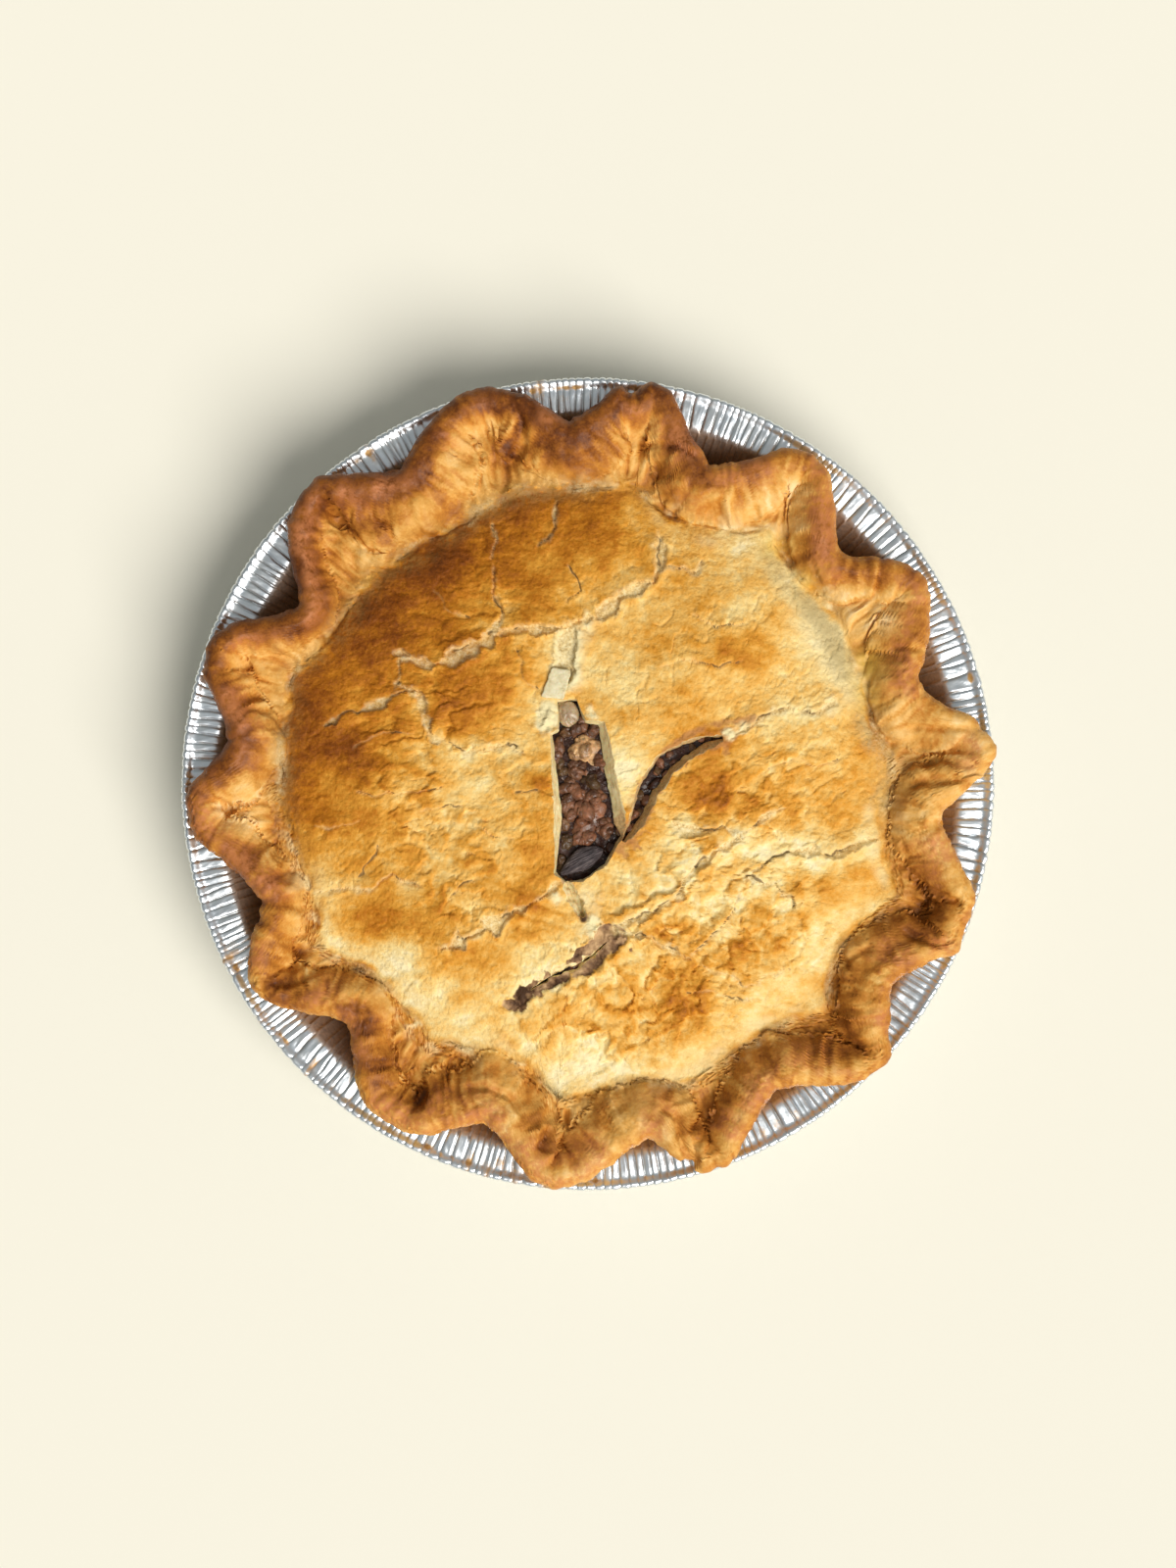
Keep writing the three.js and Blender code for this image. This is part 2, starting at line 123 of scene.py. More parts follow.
def skinFaces(counts):
    # faces of a closed skin: one end point, rings of these many points, another end point;
    # a ring may have half or twice the points of the one before
    faces = []
    starts = np.concatenate([[1], 1 + np.cumsum(counts)])
    first = np.arange(counts[0])
    ring = starts[0] + first
    turned = starts[0] + (first + 1) % counts[0]
    faces.append(np.stack([np.zeros_like(ring), ring, turned], 1))
    for k in range(len(counts) - 1):
        here, there = counts[k], counts[k + 1]
        i = np.arange(min(here, there))
        if here == there:
            a, b = starts[k] + i, starts[k] + (i + 1) % here
            c, d = starts[k + 1] + i, starts[k + 1] + (i + 1) % there
            faces += [np.stack([a, c, d], 1), np.stack([a, d, b], 1)]
        elif there > here:
            a, b = starts[k] + i, starts[k] + (i + 1) % here
            c, d, e = (starts[k + 1] + (2 * i + n) % there for n in range(3))
            faces += [np.stack([a, c, d], 1), np.stack([a, d, b], 1), np.stack([b, d, e], 1)]
        else:
            a, b, c = (starts[k] + (2 * i + n) % here for n in range(3))
            d, e = starts[k + 1] + i, starts[k + 1] + (i + 1) % there
            faces += [np.stack([a, d, b], 1), np.stack([b, d, e], 1), np.stack([b, e, c], 1)]
    last = np.arange(counts[-1])
    ring = starts[len(counts) - 1] + last
    turned = starts[len(counts) - 1] + (last + 1) % counts[-1]
    faces.append(np.stack([ring, np.full_like(ring, starts[-1]), turned], 1))
    return np.concatenate(faces)


def ringDegrees(count):
    return np.arange(count) * 360.0 / count


def ringAt(radius, height, degrees):
    theta = np.radians(degrees)
    radius = radius + 0 * theta
    return np.stack([radius * np.cos(theta), radius * np.sin(theta), height + 0 * theta], 1)


def skinPoints(firstEnd, rings, lastEnd):
    return np.concatenate([[firstEnd], *rings, [lastEnd]])


def pointNormals(points, faces):
    a, b, c = (points[faces[:, k]] for k in range(3))
    flat = np.cross(b - a, c - a)
    normals = np.zeros_like(points)
    for k in range(3):
        for axis in range(3):
            normals[:, axis] += np.bincount(faces[:, k], flat[:, axis], len(points))
    return normals / np.maximum(np.linalg.norm(normals, axis=1), 1e-12)[:, None]


def makePiece(name, points, faces, material):
    mesh = bpy.data.meshes.new(name)
    mesh.from_pydata(np.asarray(points, float) * mm, [], faces)
    mesh.polygons.foreach_set("use_smooth", np.ones(len(mesh.polygons), bool))
    mesh.materials.append(material)
    piece = bpy.data.objects.new(name, mesh)
    bpy.context.scene.collection.objects.link(piece)
    return piece


def piecePoints(piece):
    points = np.empty(len(piece.data.vertices) * 3)
    piece.data.vertices.foreach_get("co", points)
    return points.reshape(-1, 3) / mm


def paint(piece, **masks):  # masks from 0 to 1 that the materials read by name
    for name, values in masks.items():
        layer = piece.data.attributes.new(name, "FLOAT", "POINT")
        layer.data.foreach_set("value", clip01(values).astype(np.float32))


def cutAway(piece, cutters, added=()):
    for cutter in [*cutters, *added]:
        step = piece.modifiers.new("cut", "BOOLEAN")
        step.operation = "UNION" if cutter in added else "DIFFERENCE"
        step.solver = "MANIFOLD"
        step.material_mode = "TRANSFER"
        step.object = cutter
    depsgraph = bpy.context.evaluated_depsgraph_get()
    cutMesh = bpy.data.meshes.new_from_object(piece.evaluated_get(depsgraph))
    piece.modifiers.clear()
    oldMesh = piece.data
    piece.data = cutMesh
    bpy.data.meshes.remove(oldMesh)
    for cutter in [*cutters, *added]:
        spare = cutter.data
        bpy.data.objects.remove(cutter)
        bpy.data.meshes.remove(spare)


class Wire:  # a node's output that can be added, multiplied and so on
    def __init__(self, nodes, socket):
        self.nodes = nodes
        self.socket = socket

    def __add__(self, other):
        return self.nodes.maths("ADD", self, other)

    def __radd__(self, other):
        return self.nodes.maths("ADD", other, self)

    def __sub__(self, other):
        return self.nodes.maths("SUBTRACT", self, other)

    def __rsub__(self, other):
        return self.nodes.maths("SUBTRACT", other, self)

    def __mul__(self, other):
        return self.nodes.maths("MULTIPLY", self, other)

    def __rmul__(self, other):
        return self.nodes.maths("MULTIPLY", other, self)


class Nodes:  # a tree of shader nodes, built up by calls
    def __init__(self, tree):
        self.tree = tree

    def node(self, kind, settings=None, inputs=None, output=0):
        made = self.tree.nodes.new(kind)
        for key, value in (settings or {}).items():
            if key == "stops":
                self.setStops(made.color_ramp, value)
            else:
                setattr(made, key, value)
        for key, value in (inputs or {}).items():
            self.plug(made.inputs[key], value)
        return Wire(self, made.outputs[output])

    def setStops(self, ramp, stops):
        while len(ramp.elements) < len(stops):
            ramp.elements.new(0.5)
        for element, (place, colour) in zip(ramp.elements, stops):
            element.position = place
            element.color = (*colour, 1)

    def plug(self, socket, value):
        if isinstance(value, Wire):
            self.tree.links.new(value.socket, socket)
        else:
            socket.default_value = value

    def maths(self, operation, *values, clamp=False):
        settings = {"operation": operation, "use_clamp": clamp}
        return self.node("ShaderNodeMath", settings, dict(enumerate(values)))

    def clamped(self, value):
        return self.maths("ADD", value, 0.0, clamp=True)

    def fade(self, value, low, high, toLow=0.0, toHigh=1.0):
        settings = {"interpolation_type": "SMOOTHSTEP"}
        inputs = {0: value, 1: low, 2: high, 3: toLow, 4: toHigh}
        return self.node("ShaderNodeMapRange", settings, inputs)

    def mask(self, name):
        return self.node("ShaderNodeAttribute", {"attribute_name": name}, output="Fac")

    def place(self):
        return self.node("ShaderNodeTexCoord", output="Object")

    def stretched(self, vector, scale, turn=0.0):
        turned = self.node("ShaderNodeMapping", None, {"Vector": vector, "Rotation": (0, 0, turn)})
        return self.node("ShaderNodeMapping", None, {"Vector": turned, "Scale": scale})

    def noise(self, vector, size, detail=3.0, crumpled=0.55):  # size in millimetres
        inputs = {"Vector": vector, "Scale": 1 / (size * mm), "Detail": detail, "Roughness": crumpled}
        return self.node("ShaderNodeTexNoise", None, inputs)

    def cell(self, vector, size):
        inputs = {"Vector": vector, "Scale": 1 / (size * mm)}
        return self.node("ShaderNodeTexVoronoi", None, inputs, "Distance")

    def ramp(self, value, stops):
        return self.node("ShaderNodeValToRGB", {"stops": stops}, {"Fac": value})

    def blend(self, factor, first, second, mode="MIX"):
        first, second = (c if isinstance(c, Wire) else (*c, 1) for c in (first, second))
        settings = {"data_type": "RGBA", "blend_type": mode}
        return self.node("ShaderNodeMix", settings, {0: factor, 6: first, 7: second}, 2)

    def bump(self, height, depth, strength=1.0):  # depth in millimetres
        inputs = {"Height": height, "Distance": depth * mm, "Strength": strength}
        return self.node("ShaderNodeBump", None, inputs)


class Shade(Nodes):  # a material, its Principled shader and the nodes that feed it
    def __init__(self, name, **uniform):
        self.material = bpy.data.materials.new(name)
        self.material.use_nodes = True
        super().__init__(self.material.node_tree)
        self.surface = self.tree.nodes["Principled BSDF"]
        self.feed(**uniform)

    def feed(self, **sockets):
        for socketName, value in sockets.items():
            self.plug(self.surface.inputs[socketName.replace("_", " ")], value)


def tone(red, green, blue):  # a colour as it is seen, 0 to 255, to the renderer's linear values
    return tuple(((c / 255 + 0.055) / 1.055) ** 2.4 if c > 10 else c / 3294.6 for c in (red, green, blue))


def ramped(*stops):  # rows of a place on a ramp and the colour there, as it is seen
    return [(place, tone(*colour)) for place, *colour in stops]


studio = {
    "cameraHeight": 830.0,  # straight above the pie's middle
    "frameHeight": 469.6,  # what the tall side of the picture takes in, level with the tin's rim
    "rimLevel": 30.0,
    "sensor": 24.0,
    "floorSize": 3000.0,
    "floorTone": (250, 246, 231),
    "floorShare": 0.86,
    "keyTurn": -50.0,  # degrees from +x, so the light comes from the lower right
    "keyLift": 50.0,
    "keySpread": 40.0,  # how broad the light is, seen from the pie
    "keyPower": 3.33,
    "keyTint": (1.0, 0.975, 0.93),
    "skyPower": 0.475,
    "skyFar": (0.46, 0.49, 0.46),  # the sky on the side away from the key light
    "skyNear": (1.0, 1.0, 1.0),
}


def setCamera():
    s = studio
    camera = bpy.data.objects.new("camera", bpy.data.cameras.new("camera"))
    camera.data.sensor_fit = "VERTICAL"
    camera.data.sensor_height = s["sensor"]
    camera.data.lens = s["sensor"] * (s["cameraHeight"] - s["rimLevel"]) / s["frameHeight"]
    camera.data.clip_start = 0.01
    camera.data.clip_end = 20
    camera.location = (0, 0, s["cameraHeight"] * mm)
    bpy.context.scene.collection.objects.link(camera)
    bpy.context.scene.camera = camera


def makeFloor():
    s = studio
    shade = Shade("floorPaint", Roughness=0.9, Specular_IOR_Level=0.1)
    grain = shade.noise(shade.place(), 60.0, 2.0)
    pale = tuple(c * s["floorShare"] for c in tone(*s["floorTone"]))
    deeper = tuple(c * 0.995 for c in pale)
    shade.feed(Base_Color=shade.blend(grain, pale, deeper))
    half = s["floorSize"] / 2
    corners = [(-half, -half, 0), (half, -half, 0), (half, half, 0), (-half, half, 0)]
    floor = makePiece("floor", corners, [(0, 1, 2, 3)], shade.material)


def setLight():
    s = studio
    lamp = bpy.data.lights.new("key", "SUN")
    lamp.angle = math.radians(s["keySpread"])
    lamp.energy = s["keyPower"]
    lamp.color = s["keyTint"]
    key = bpy.data.objects.new("key", lamp)
    turn, lift = math.radians(s["keyTurn"]), math.radians(s["keyLift"])
    key.rotation_euler = (math.pi / 2 - lift, 0, turn + math.pi / 2)
    bpy.context.scene.collection.objects.link(key)

    world = bpy.data.worlds.new("sky")
    world.use_nodes = True
    bpy.context.scene.world = world
    sky = Nodes(world.node_tree)
    spot = sky.node("ShaderNodeTexCoord", output="Generated")
    turned = sky.node("ShaderNodeMapping", None, {"Vector": spot, "Rotation": (0, 0, -turn)})
    towardsKey = sky.node("ShaderNodeSeparateXYZ", None, {"Vector": turned}, "X")
    level = sky.node("ShaderNodeMapRange", None, {"Value": towardsKey, "From Min": -1, "From Max": 1})
    glow = world.node_tree.nodes["Background"]
    sky.plug(glow.inputs["Color"], sky.ramp(level, [(0.0, s["skyFar"]), (1.0, s["skyNear"])]))
    sky.plug(glow.inputs["Strength"], s["skyPower"])


def setStudio():
    setCamera()
    makeFloor()
    setLight()
    view = bpy.context.scene.view_settings
    view.view_transform = "Standard"
    view.look = "None"
    view.exposure = 0
    view.gamma = 1
    print("studio set")


# The rim's outline. One row for each thumb-pressed flute, anticlockwise from +x: the lobe's angle,
# how far out it reaches, the seam behind it and how broad it is; the notch's angle, bite and foot.
flutes = [
    (4.8, 121.4, 93.0, 1.1, 17.2, 103.3, 86.3),
    (31.0, 117.5, 90.5, 0.8, 42.8, 102.2, 87.8),
    (55.0, 118.3, 96.0, 0.9, 69.0, 101.2, 83.1),
    (81.0, 120.9, 91.5, 0.8, 93.0, 107.7, 88.3),
    (105.6, 121.8, 91.0, 0.6, 121.0, 108.7, 86.6),
    (134.5, 121.2, 90.0, 0.7, 148.3, 101.2, 88.0),
    (159.5, 120.4, 95.6, 0.8, 173.3, 107.7, 91.0),
    (183.0, 120.0, 93.5, 0.9, 199.2, 102.9, 88.9),
    (210.8, 116.5, 96.0, 0.9, 225.0, 101.0, 85.4),
    (239.5, 117.1, 92.5, 0.6, 252.8, 104.8, 84.5),
    (264.6, 120.9, 97.5, 0.9, 279.6, 106.9, 89.2),
    (287.0, 120.5, 96.0, 0.8, 301.3, 106.6, 91.0),
    (316.4, 121.9, 100.0, 1.0, 327.0, 107.7, 89.5),
    (340.0, 121.1, 100.5, 0.7, 354.0, 105.1, 89.2),
]

crustForm = {
    "gutterHeight": 33.0,
    "lidRadius": 91.0,
    "lidRound": 60.0,
    "lidFluted": 82.0,
    "lidRise": 11.5,
    "lobeCrest": 40.4,
    "notchCrest": 41.9,
    "rollWidth": 4.6,  # from the crest out to the edge
    "rollDepth": 5.2,
    "crestPlace": 4.5,  # where browning and blisters are strongest, in from the edge
    "seat": 29.4,  # where the lobes lie on the flange
    "segments": 1200,
    "lidStep": 0.52,
    "sparser": ((2, 0.5), (4, 0.25), (8, 0.12), (16, 0.05)),  # fewer points to a ring near the middle
    "slopeRings": 46,
    "rollRings": 23,
    "rollTurn": (86, -58),  # degrees: where the roll at the edge starts and ends
    "rollLimit": 10.5,
    "flangeEdge": 109.0,  # an edge further out than this lies on the tin's flange
    "tinWall": (90.5, 0.757, 1.6, 28.2),  # radius at its foot, its lean, heights of foot and top
    "wallGap": 0.7,
    "footRings": ((2, 95.2, 9.0), (4, 87.5, 1.3), (8, 40.0, 1.3)),  # share of points, radius, height
    "thickness": 4.0,
    "lobePocket": 18.5,  # how far in from the edge a lobe's roll ends
    "slopeReach": 117.0,  # where the long slope behind the lobes meets their crest
    "slopeRise": 7.0,
    "rimReach": 66.0,  # the rim's shape is worked out from this radius on
    "hollow": 2.9,  # how deep a thumb pressed behind each lobe
    "hollowPlace": 12.8,  # how far in from the edge it pressed
    "hollowWidth": 4.2,
}

# small dents (-) and bumps (+) in the edge: angle, half width in degrees, millimetres
edgeTouches = [
    (83.3, 1.3, -3.2), (86.0, 1.2, 1.0), (131.2, 1.4, 1.6), (290.6, 1.6, 1.6), (284.6, 0.8, -1.6),
    (339.3, 1.7, -1.4), (335.4, 1.6, 1.5), (343.4, 1.5, 1.2), (110.8, 1.8, 1.0), (235.0, 2.0, 1.2),
    (245.2, 1.6, 0.9), (10.0, 1.5, 1.2), (26.2, 1.6, -1.0), (60.2, 1.8, 0.9), (163.8, 1.8, 1.2),
    (206.4, 1.6, -0.9), (215.0, 1.6, 1.0), (269.6, 1.6, 1.1), (320.6, 1.4, -1.2), (188.4, 1.6, 1.1),
]

stopRows = []
for turnRound in (-360, 0, 360):
    for lobeAt, reach, pocket, broad, notchAt, bite, foot in flutes:
        stopRows.append((lobeAt + turnRound, 1, reach, pocket, broad))
        stopRows.append((notchAt + turnRound, 0, bite, foot, 0))
stops = np.array(stopRows)


def rimAt(degrees):
    degrees = np.mod(degrees, 360)
    k = np.searchsorted(stops[:, 0], degrees, side="right") - 1
    before, after = stops[k], stops[k + 1]
    isLobe = before[:, 1] > 0.5
    peak = np.where(isLobe[:, None], before, after)
    dip = np.where(isLobe[:, None], after, before)
    away = np.abs((degrees - peak[:, 0]) / (dip[:, 0] - peak[:, 0]))
    lobe = 0.5 + 0.5 * np.cos(np.pi * away)
    tongue = (1 - (1 - away) ** 2) ** 0.6
    edge = mix(dip[:, 2], peak[:, 2], lobe ** peak[:, 4])
    for at, width, height in edgeTouches:
        apart = np.mod(degrees - at + 180, 360) - 180
        edge = edge + height * falloff(apart, width)
    edge = edge + 0.35 * bumps(degrees * 0.45, degrees * 0, 5)
    return {
        "lobe": lobe,
        "near": 1 - away,  # 1 at the middle of a lobe, 0 in a notch
        "edge": edge,
        "crease": mix(peak[:, 3], dip[:, 3], tongue),
        "inward": dip[:, 2] - dip[:, 3],  # from the notch's edge to its foot
    }


outlineStep = 0.15
outlineAngles = np.arange(0, 360, outlineStep)
outlineEdge = rimAt(outlineAngles)["edge"]
outlineX = outlineEdge * np.cos(np.radians(outlineAngles))
outlineY = outlineEdge * np.sin(np.radians(outlineAngles))
overlapped = np.concatenate([outlineEdge[-4:], outlineEdge, outlineEdge[:4]])
outlineSlope = np.gradient(overlapped, math.radians(outlineStep))[4:-4] / outlineEdge


def outlineDistance(x, y):  # how far in from the edge, and the edge's angle there
    guess = np.round(np.degrees(np.arctan2(y, x)) / outlineStep).astype(int)
    best = np.full(x.shape, 1e9)
    at = np.zeros(x.shape, int)
    lookRound = 110  # steps to either side in which the nearest edge must lie
    for shift in range(-lookRound, lookRound + 1, 2):
        k = (guess + shift) % len(outlineAngles)
        away = (x - outlineX[k]) ** 2 + (y - outlineY[k]) ** 2
        closer = away < best
        best = np.where(closer, away, best)
        at = np.where(closer, k, at)
    return np.sqrt(best), outlineAngles[at]


# Cracks that opened in baking: a line of points, half the width of the crumbly floor, and depth.
cracks = [
    ([(-5.2, 46.8), (2.9, 49.4), (11.3, 56.1), (19.7, 60.4), (21.7, 64.5), (21.4, 70.0), (20.8, 75.5)],
     1.3, 1.0),
    ([(21.7, 64.5), (28.9, 63.9), (31.6, 63.1), (34.5, 66.7)], 0.6, 0.6),
    ([(-28.6, 43.0), (-25.2, 50.2), (-27.8, 57.2), (-28.0, 65.6)], 1.1, 0.8),
    ([(-58.2, 40.6), (-54.6, 37.9), (-48.0, 35.0), (-41.3, 36.7), (-30.1, 42.2), (-23.6, 46.0)], 1.2, 0.9),
    ([(-28.5, 66.0), (-27.0, 72.0), (-28.0, 78.0)], 0.6, 0.5),
    ([(-9.0, 84.0), (-10.0, 74.5), (-15.5, 70.0)], 0.6, 0.5),
    ([(-56.5, 37.5), (-55.5, 32.5), (-56.0, 28.5)], 0.7, 0.6),
    ([(-27.0, 45.2), (-16.5, 45.7), (-5.2, 46.8), (0.0, 48.4)], 1.3, 0.8),
    ([(-5.0, 47.0), (-6.4, 39.3), (-7.2, 32.1), (-8.4, 25.0)], 1.9, 0.8),
    ([(-58.0, 31.0), (-54.6, 28.3), (-49.4, 25.7), (-46.8, 15.3), (-45.5, 13.6), (-40.9, 13.0)], 1.0, 0.7),
    ([(-42.0, 13.2), (-35.3, 9.4), (-28.0, 11.0), (-24.4, 11.6), (-18.2, 8.4)], 1.2, 0.7),
    ([(-50.7, 28.5), (-60.4, 24.9), (-71.5, 20.6), (-79.0, 16.5)], 0.9, 0.6),
    ([(-84.0, -33.0), (-74.4, -31.4), (-64.2, -30.9), (-59.0, -27.2), (-48.6, -31.2)], 0.5, 0.6),
    ([(-46.5, -49.2), (-35.8, -45.4), (-25.4, -39.0), (-20.2, -36.6), (-12.0, -31.8), (-7.0, -28.4)],
     1.6, 1.0),
    ([(43.0, 14.4), (51.3, 19.8), (59.2, 22.6), (66.3, 20.6), (74.9, 24.2)], 0.8, 0.7),
    ([(24.4, -10.7), (28.9, -14.2), (34.7, -13.8), (39.3, -12.7), (43.0, -14.2), (47.0, -17.3)], 0.9, 0.8),
    ([(43.0, -17.3), (47.0, -13.5), (58.9, -6.1)], 0.8, 0.7),
    ([(25.9, -36.0), (27.5, -29.2), (30.6, -25.6), (34.7, -22.0), (38.8, -18.9), (47.5, -15.0)], 1.2, 0.9),
    ([(45.0, -26.5), (52.2, -29.8), (55.2, -28.6), (57.4, -32.4), (60.4, -33.2), (61.0, -37.8)], 0.8, 0.7),
    ([(59.0, -19.4), (67.6, -19.9), (72.3, -21.4), (75.5, -19.9), (80.7, -17.3), (88.0, -15.0)], 0.9, 0.8),
    ([(6.0, -43.2), (16.1, -44.2), (22.8, -47.7), (31.1, -52.0)], 1.4, 0.8),
    ([(8.0, -42.0), (15.0, -40.0), (21.0, -37.0), (27.5, -32.0)], 0.8, 0.7),
    ([(61.0, -19.0), (55.0, -21.5), (46.0, -27.5)], 0.6, 0.6),
    ([(30.0, -51.0), (36.0, -46.0), (42.0, -40.0), (47.0, -28.0)], 0.5, 0.6),
    ([(32.0, -53.0), (36.7, -56.1), (43.0, -56.6), (45.0, -59.2), (50.2, -59.7), (52.2, -56.6),
      (62.0, -54.5)], 0.4, 0.6),
]

# Thin splits in the skin, the same way.
splits = [
    ([(-69.0, -2.2), (-56.4, -3.2), (-47.1, -1.4), (-42.0, -0.2)], 0.35, 0.6),
    ([(-70.0, 10.6), (-61.6, 14.5), (-56.4, 15.6), (-51.0, 15.2)], 0.3, 0.45),
    ([(-81.5, -12.9), (-72.0, -12.1), (-68.0, -11.0)], 0.3, 0.45),
    ([(-69.0, -28.6), (-64.2, -22.5), (-61.0, -17.5)], 0.3, 0.4),
    ([(-40.5, -11.1), (-33.2, -12.1), (-28.0, -15.3), (-21.0, -16.1)], 0.3, 0.45),
    ([(-50.0, -7.4), (-40.9, -6.2), (-36.0, -7.0)], 0.3, 0.35),
    ([(-41.5, -34.0), (-36.3, -28.3), (-32.5, -28.6)], 0.3, 0.4),
    ([(-23.0, -2.3), (-14.0, -1.5)], 0.3, 0.4),
    ([(28.0, -61.7), (34.7, -61.2), (41.9, -62.3), (46.0, -64.3), (52.8, -61.2)], 0.35, 0.5),
    ([(20.0, 34.0), (30.0, 36.5), (39.0, 34.0), (46.0, 37.5)], 0.3, 0.4),
    ([(30.0, 50.0), (38.0, 46.0), (47.0, 47.5)], 0.3, 0.4),
    ([(52.0, 4.0), (60.0, 7.5), (68.0, 5.0), (75.0, 8.0)], 0.35, 0.45),
    ([(-6.0, 66.0), (-2.0, 58.0), (-6.0, 53.0)], 0.3, 0.4),
    ([(-46.0, 58.0), (-41.0, 51.0), (-35.0, 49.0)], 0.3, 0.4),
    ([(-21.0, 40.0), (-18.5, 31.0), (-14.0, 27.0)], 0.3, 0.4),
]

lidForm = {
    "crackWander": 1.5,  # how far noise moves a crack off its line
    "crackReach": 9.0,  # how far from its line a crack changes the lid
    "plateReach": 4.5,  # how far the raised plate on one side of a crack slopes away
    "lipRise": 0.95,
    "swell": 0.6,  # broad unevenness
    "flakeRise": 0.85,  # the torn edges of the skin's flakes
    "flakeSlant": 0.6,
    "flakyReach": 91.0,  # flakes fade towards this radius
    "veinDepth": 0.38,
}

# The long vent's outline at the lid's face, and corner by corner the same at its floor.
ventTop = [
    (-3.4, 25.2), (-1.9, 22.6), (-0.4, 19.2), (1.6, 19.0), (5.0, 18.6), (8.6, 4.0), (12.6, -12.0),
    (11.4, -16.0), (6.0, -24.4), (-1.2, -29.2), (-7.0, -29.6), (-10.2, -26.4), (-10.2, -9.7),
    (-11.4, 14.6), (-9.4, 16.4), (-9.0, 20.5), (-9.4, 25.0),
]
ventFloor = [
    (-3.2, 24.6), (-2.4, 21.8), (-0.9, 18.3), (1.0, 17.8), (2.9, 17.5), (5.1, 4.0), (7.7, -11.7),
    (9.6, -15.2), (5.0, -23.8), (-1.4, -28.6), (-6.6, -28.9), (-9.5, -26.0), (-7.6, -9.7),
    (-10.4, 14.2), (-8.6, 16.0), (-8.5, 20.3), (-9.0, 24.3),
]
slits = [  # the other vents: a line of points, its width, how ragged it is and its depth
    ([(10.2, -17), (14.2, -11.2), (17.6, -2), (23.0, 6.0), (29, 9.8), (35, 12.6), (40, 13.6)],
     6.4, 0.45, 8.0),
    ([(5.6, -46.6), (1, -51), (-5, -54.6), (-11.5, -57.2), (-17, -61)], 2.5, 1.2, 8.0),
    ([(-6.6, -28), (-4.6, -32.5), (-1.2, -39.5)], 3.2, 0.9, 3.4),
]


def evenedCrease(width):  # the seam's radius at each degree, without its sharp corners
    spare = 24.0  # degrees past each end, for the average
    window = falloff(np.arange(-spare, spare + 0.5, 0.5), width)
    crease = rimAt(np.arange(-spare, 360.5 + spare, 0.5))["crease"]
    return np.convolve(crease, window / window.sum(), "valid")


evenDegrees = np.arange(0.0, 360.5, 0.5)
lidEdge = evenedCrease(9.0) - 0.5
seamLine = evenedCrease(2.2)


def lidHeight(x, y):
    form = crustForm
    radius = np.hypot(x, y)
    fluted = smooth((radius - form["lidRound"]) / (form["lidFluted"] - form["lidRound"]))
    degrees = np.mod(np.degrees(np.arctan2(y, x)), 360)
    edge = mix(form["lidRadius"], np.interp(degrees, evenDegrees, lidEdge), fluted)
    share = clip01(radius / edge)
    dome = (1 - share ** 2.4) ** 0.85
    lumps = 0.55 * np.sin(x / 13 + 1) * np.cos(y / 15) + 0.4 * np.sin((x - y) / 9 + 2)
    return form["gutterHeight"] + form["lidRise"] * dome + lumps * np.minimum(1, 3 * dome)


def crackField(x, y):
    # depth, crumbly floor, raised lips, pale dough around, the wider fringe and the dark line in it
    form = lidForm
    wander, reach = form["crackWander"], form["crackReach"]
    wx = x + wander * rough(x / 4.5, y / 4.5, 4, 21, 0.6)
    wy = y + wander * rough(x / 4.5, y / 4.5, 4, 22, 0.6)
    names = ("depth", "floor", "lip", "around", "fringe", "line")
    field = {name: np.zeros(x.shape) for name in names}
    for k, (path, half, deep) in enumerate(cracks + splits):
        row = np.asarray(path)
        near = (x > row[:, 0].min() - reach) & (x < row[:, 0].max() + reach)
        near &= (y > row[:, 1].min() - reach) & (y < row[:, 1].max() + reach)
        away, side, along = lineDistance(wx[near], wy[near], path)
        ends = smooth(along / 0.07) * smooth((1 - along) / 0.07)
        run = along * np.hypot(*np.diff(row, axis=0).T).sum()
        uneven = 0.8 + 1.5 * rough(run / 4, run * 0 + 3 * k, 2, 31)
        width = half * (0.6 + 0.3 * half) * uneven * (0.35 + 0.65 * ends)
        width = np.maximum(width, 0.1)
        inCrack = ends * smooth((width + 0.5 - away) / 1.0)
        wide = smooth(half / 0.6)
        broken = smooth(0.55 + 1.7 * rough(run / 5, run * 0 + 5 * k, 3, 33))
        past = np.maximum(0, away - width)
        plate = smooth((away - width + 0.3) / 0.7) * falloff(past, form["plateReach"], 1.5)
        lowSide = 0.4 * falloff(away - width - 0.9, 1.6)
        line = ends * broken * falloff(away * side - 0.5 * width, 0.42)
        made = {
            "depth": deep * (0.5 * inCrack + 0.45 * line),
            "floor": inCrack * wide,
            "lip": ends * deep * np.where(side > 0, plate, lowSide),
            "around": ends * wide * falloff(past, 1.9, 1.3),
            "fringe": ends * wide * falloff(past, 5.0, 1.4),
            "line": line,
        }
        for name in names:
            field[name][near] = np.maximum(field[name][near], made[name])
    return field


def flakes(x, y, size, levels, seed):  # torn edges, each with a long slope down to the next
    level = levels * rough(x / size, y / size, 4, seed, 0.5)
    part = level - np.floor(level)
    sharp = 0.13
    thin = 0.5 * levels / size
    crevice = falloff(np.minimum(part, 1 - part), thin)
    return smooth(part / sharp) - part - 0.42, falloff(part - sharp, sharp), crevice


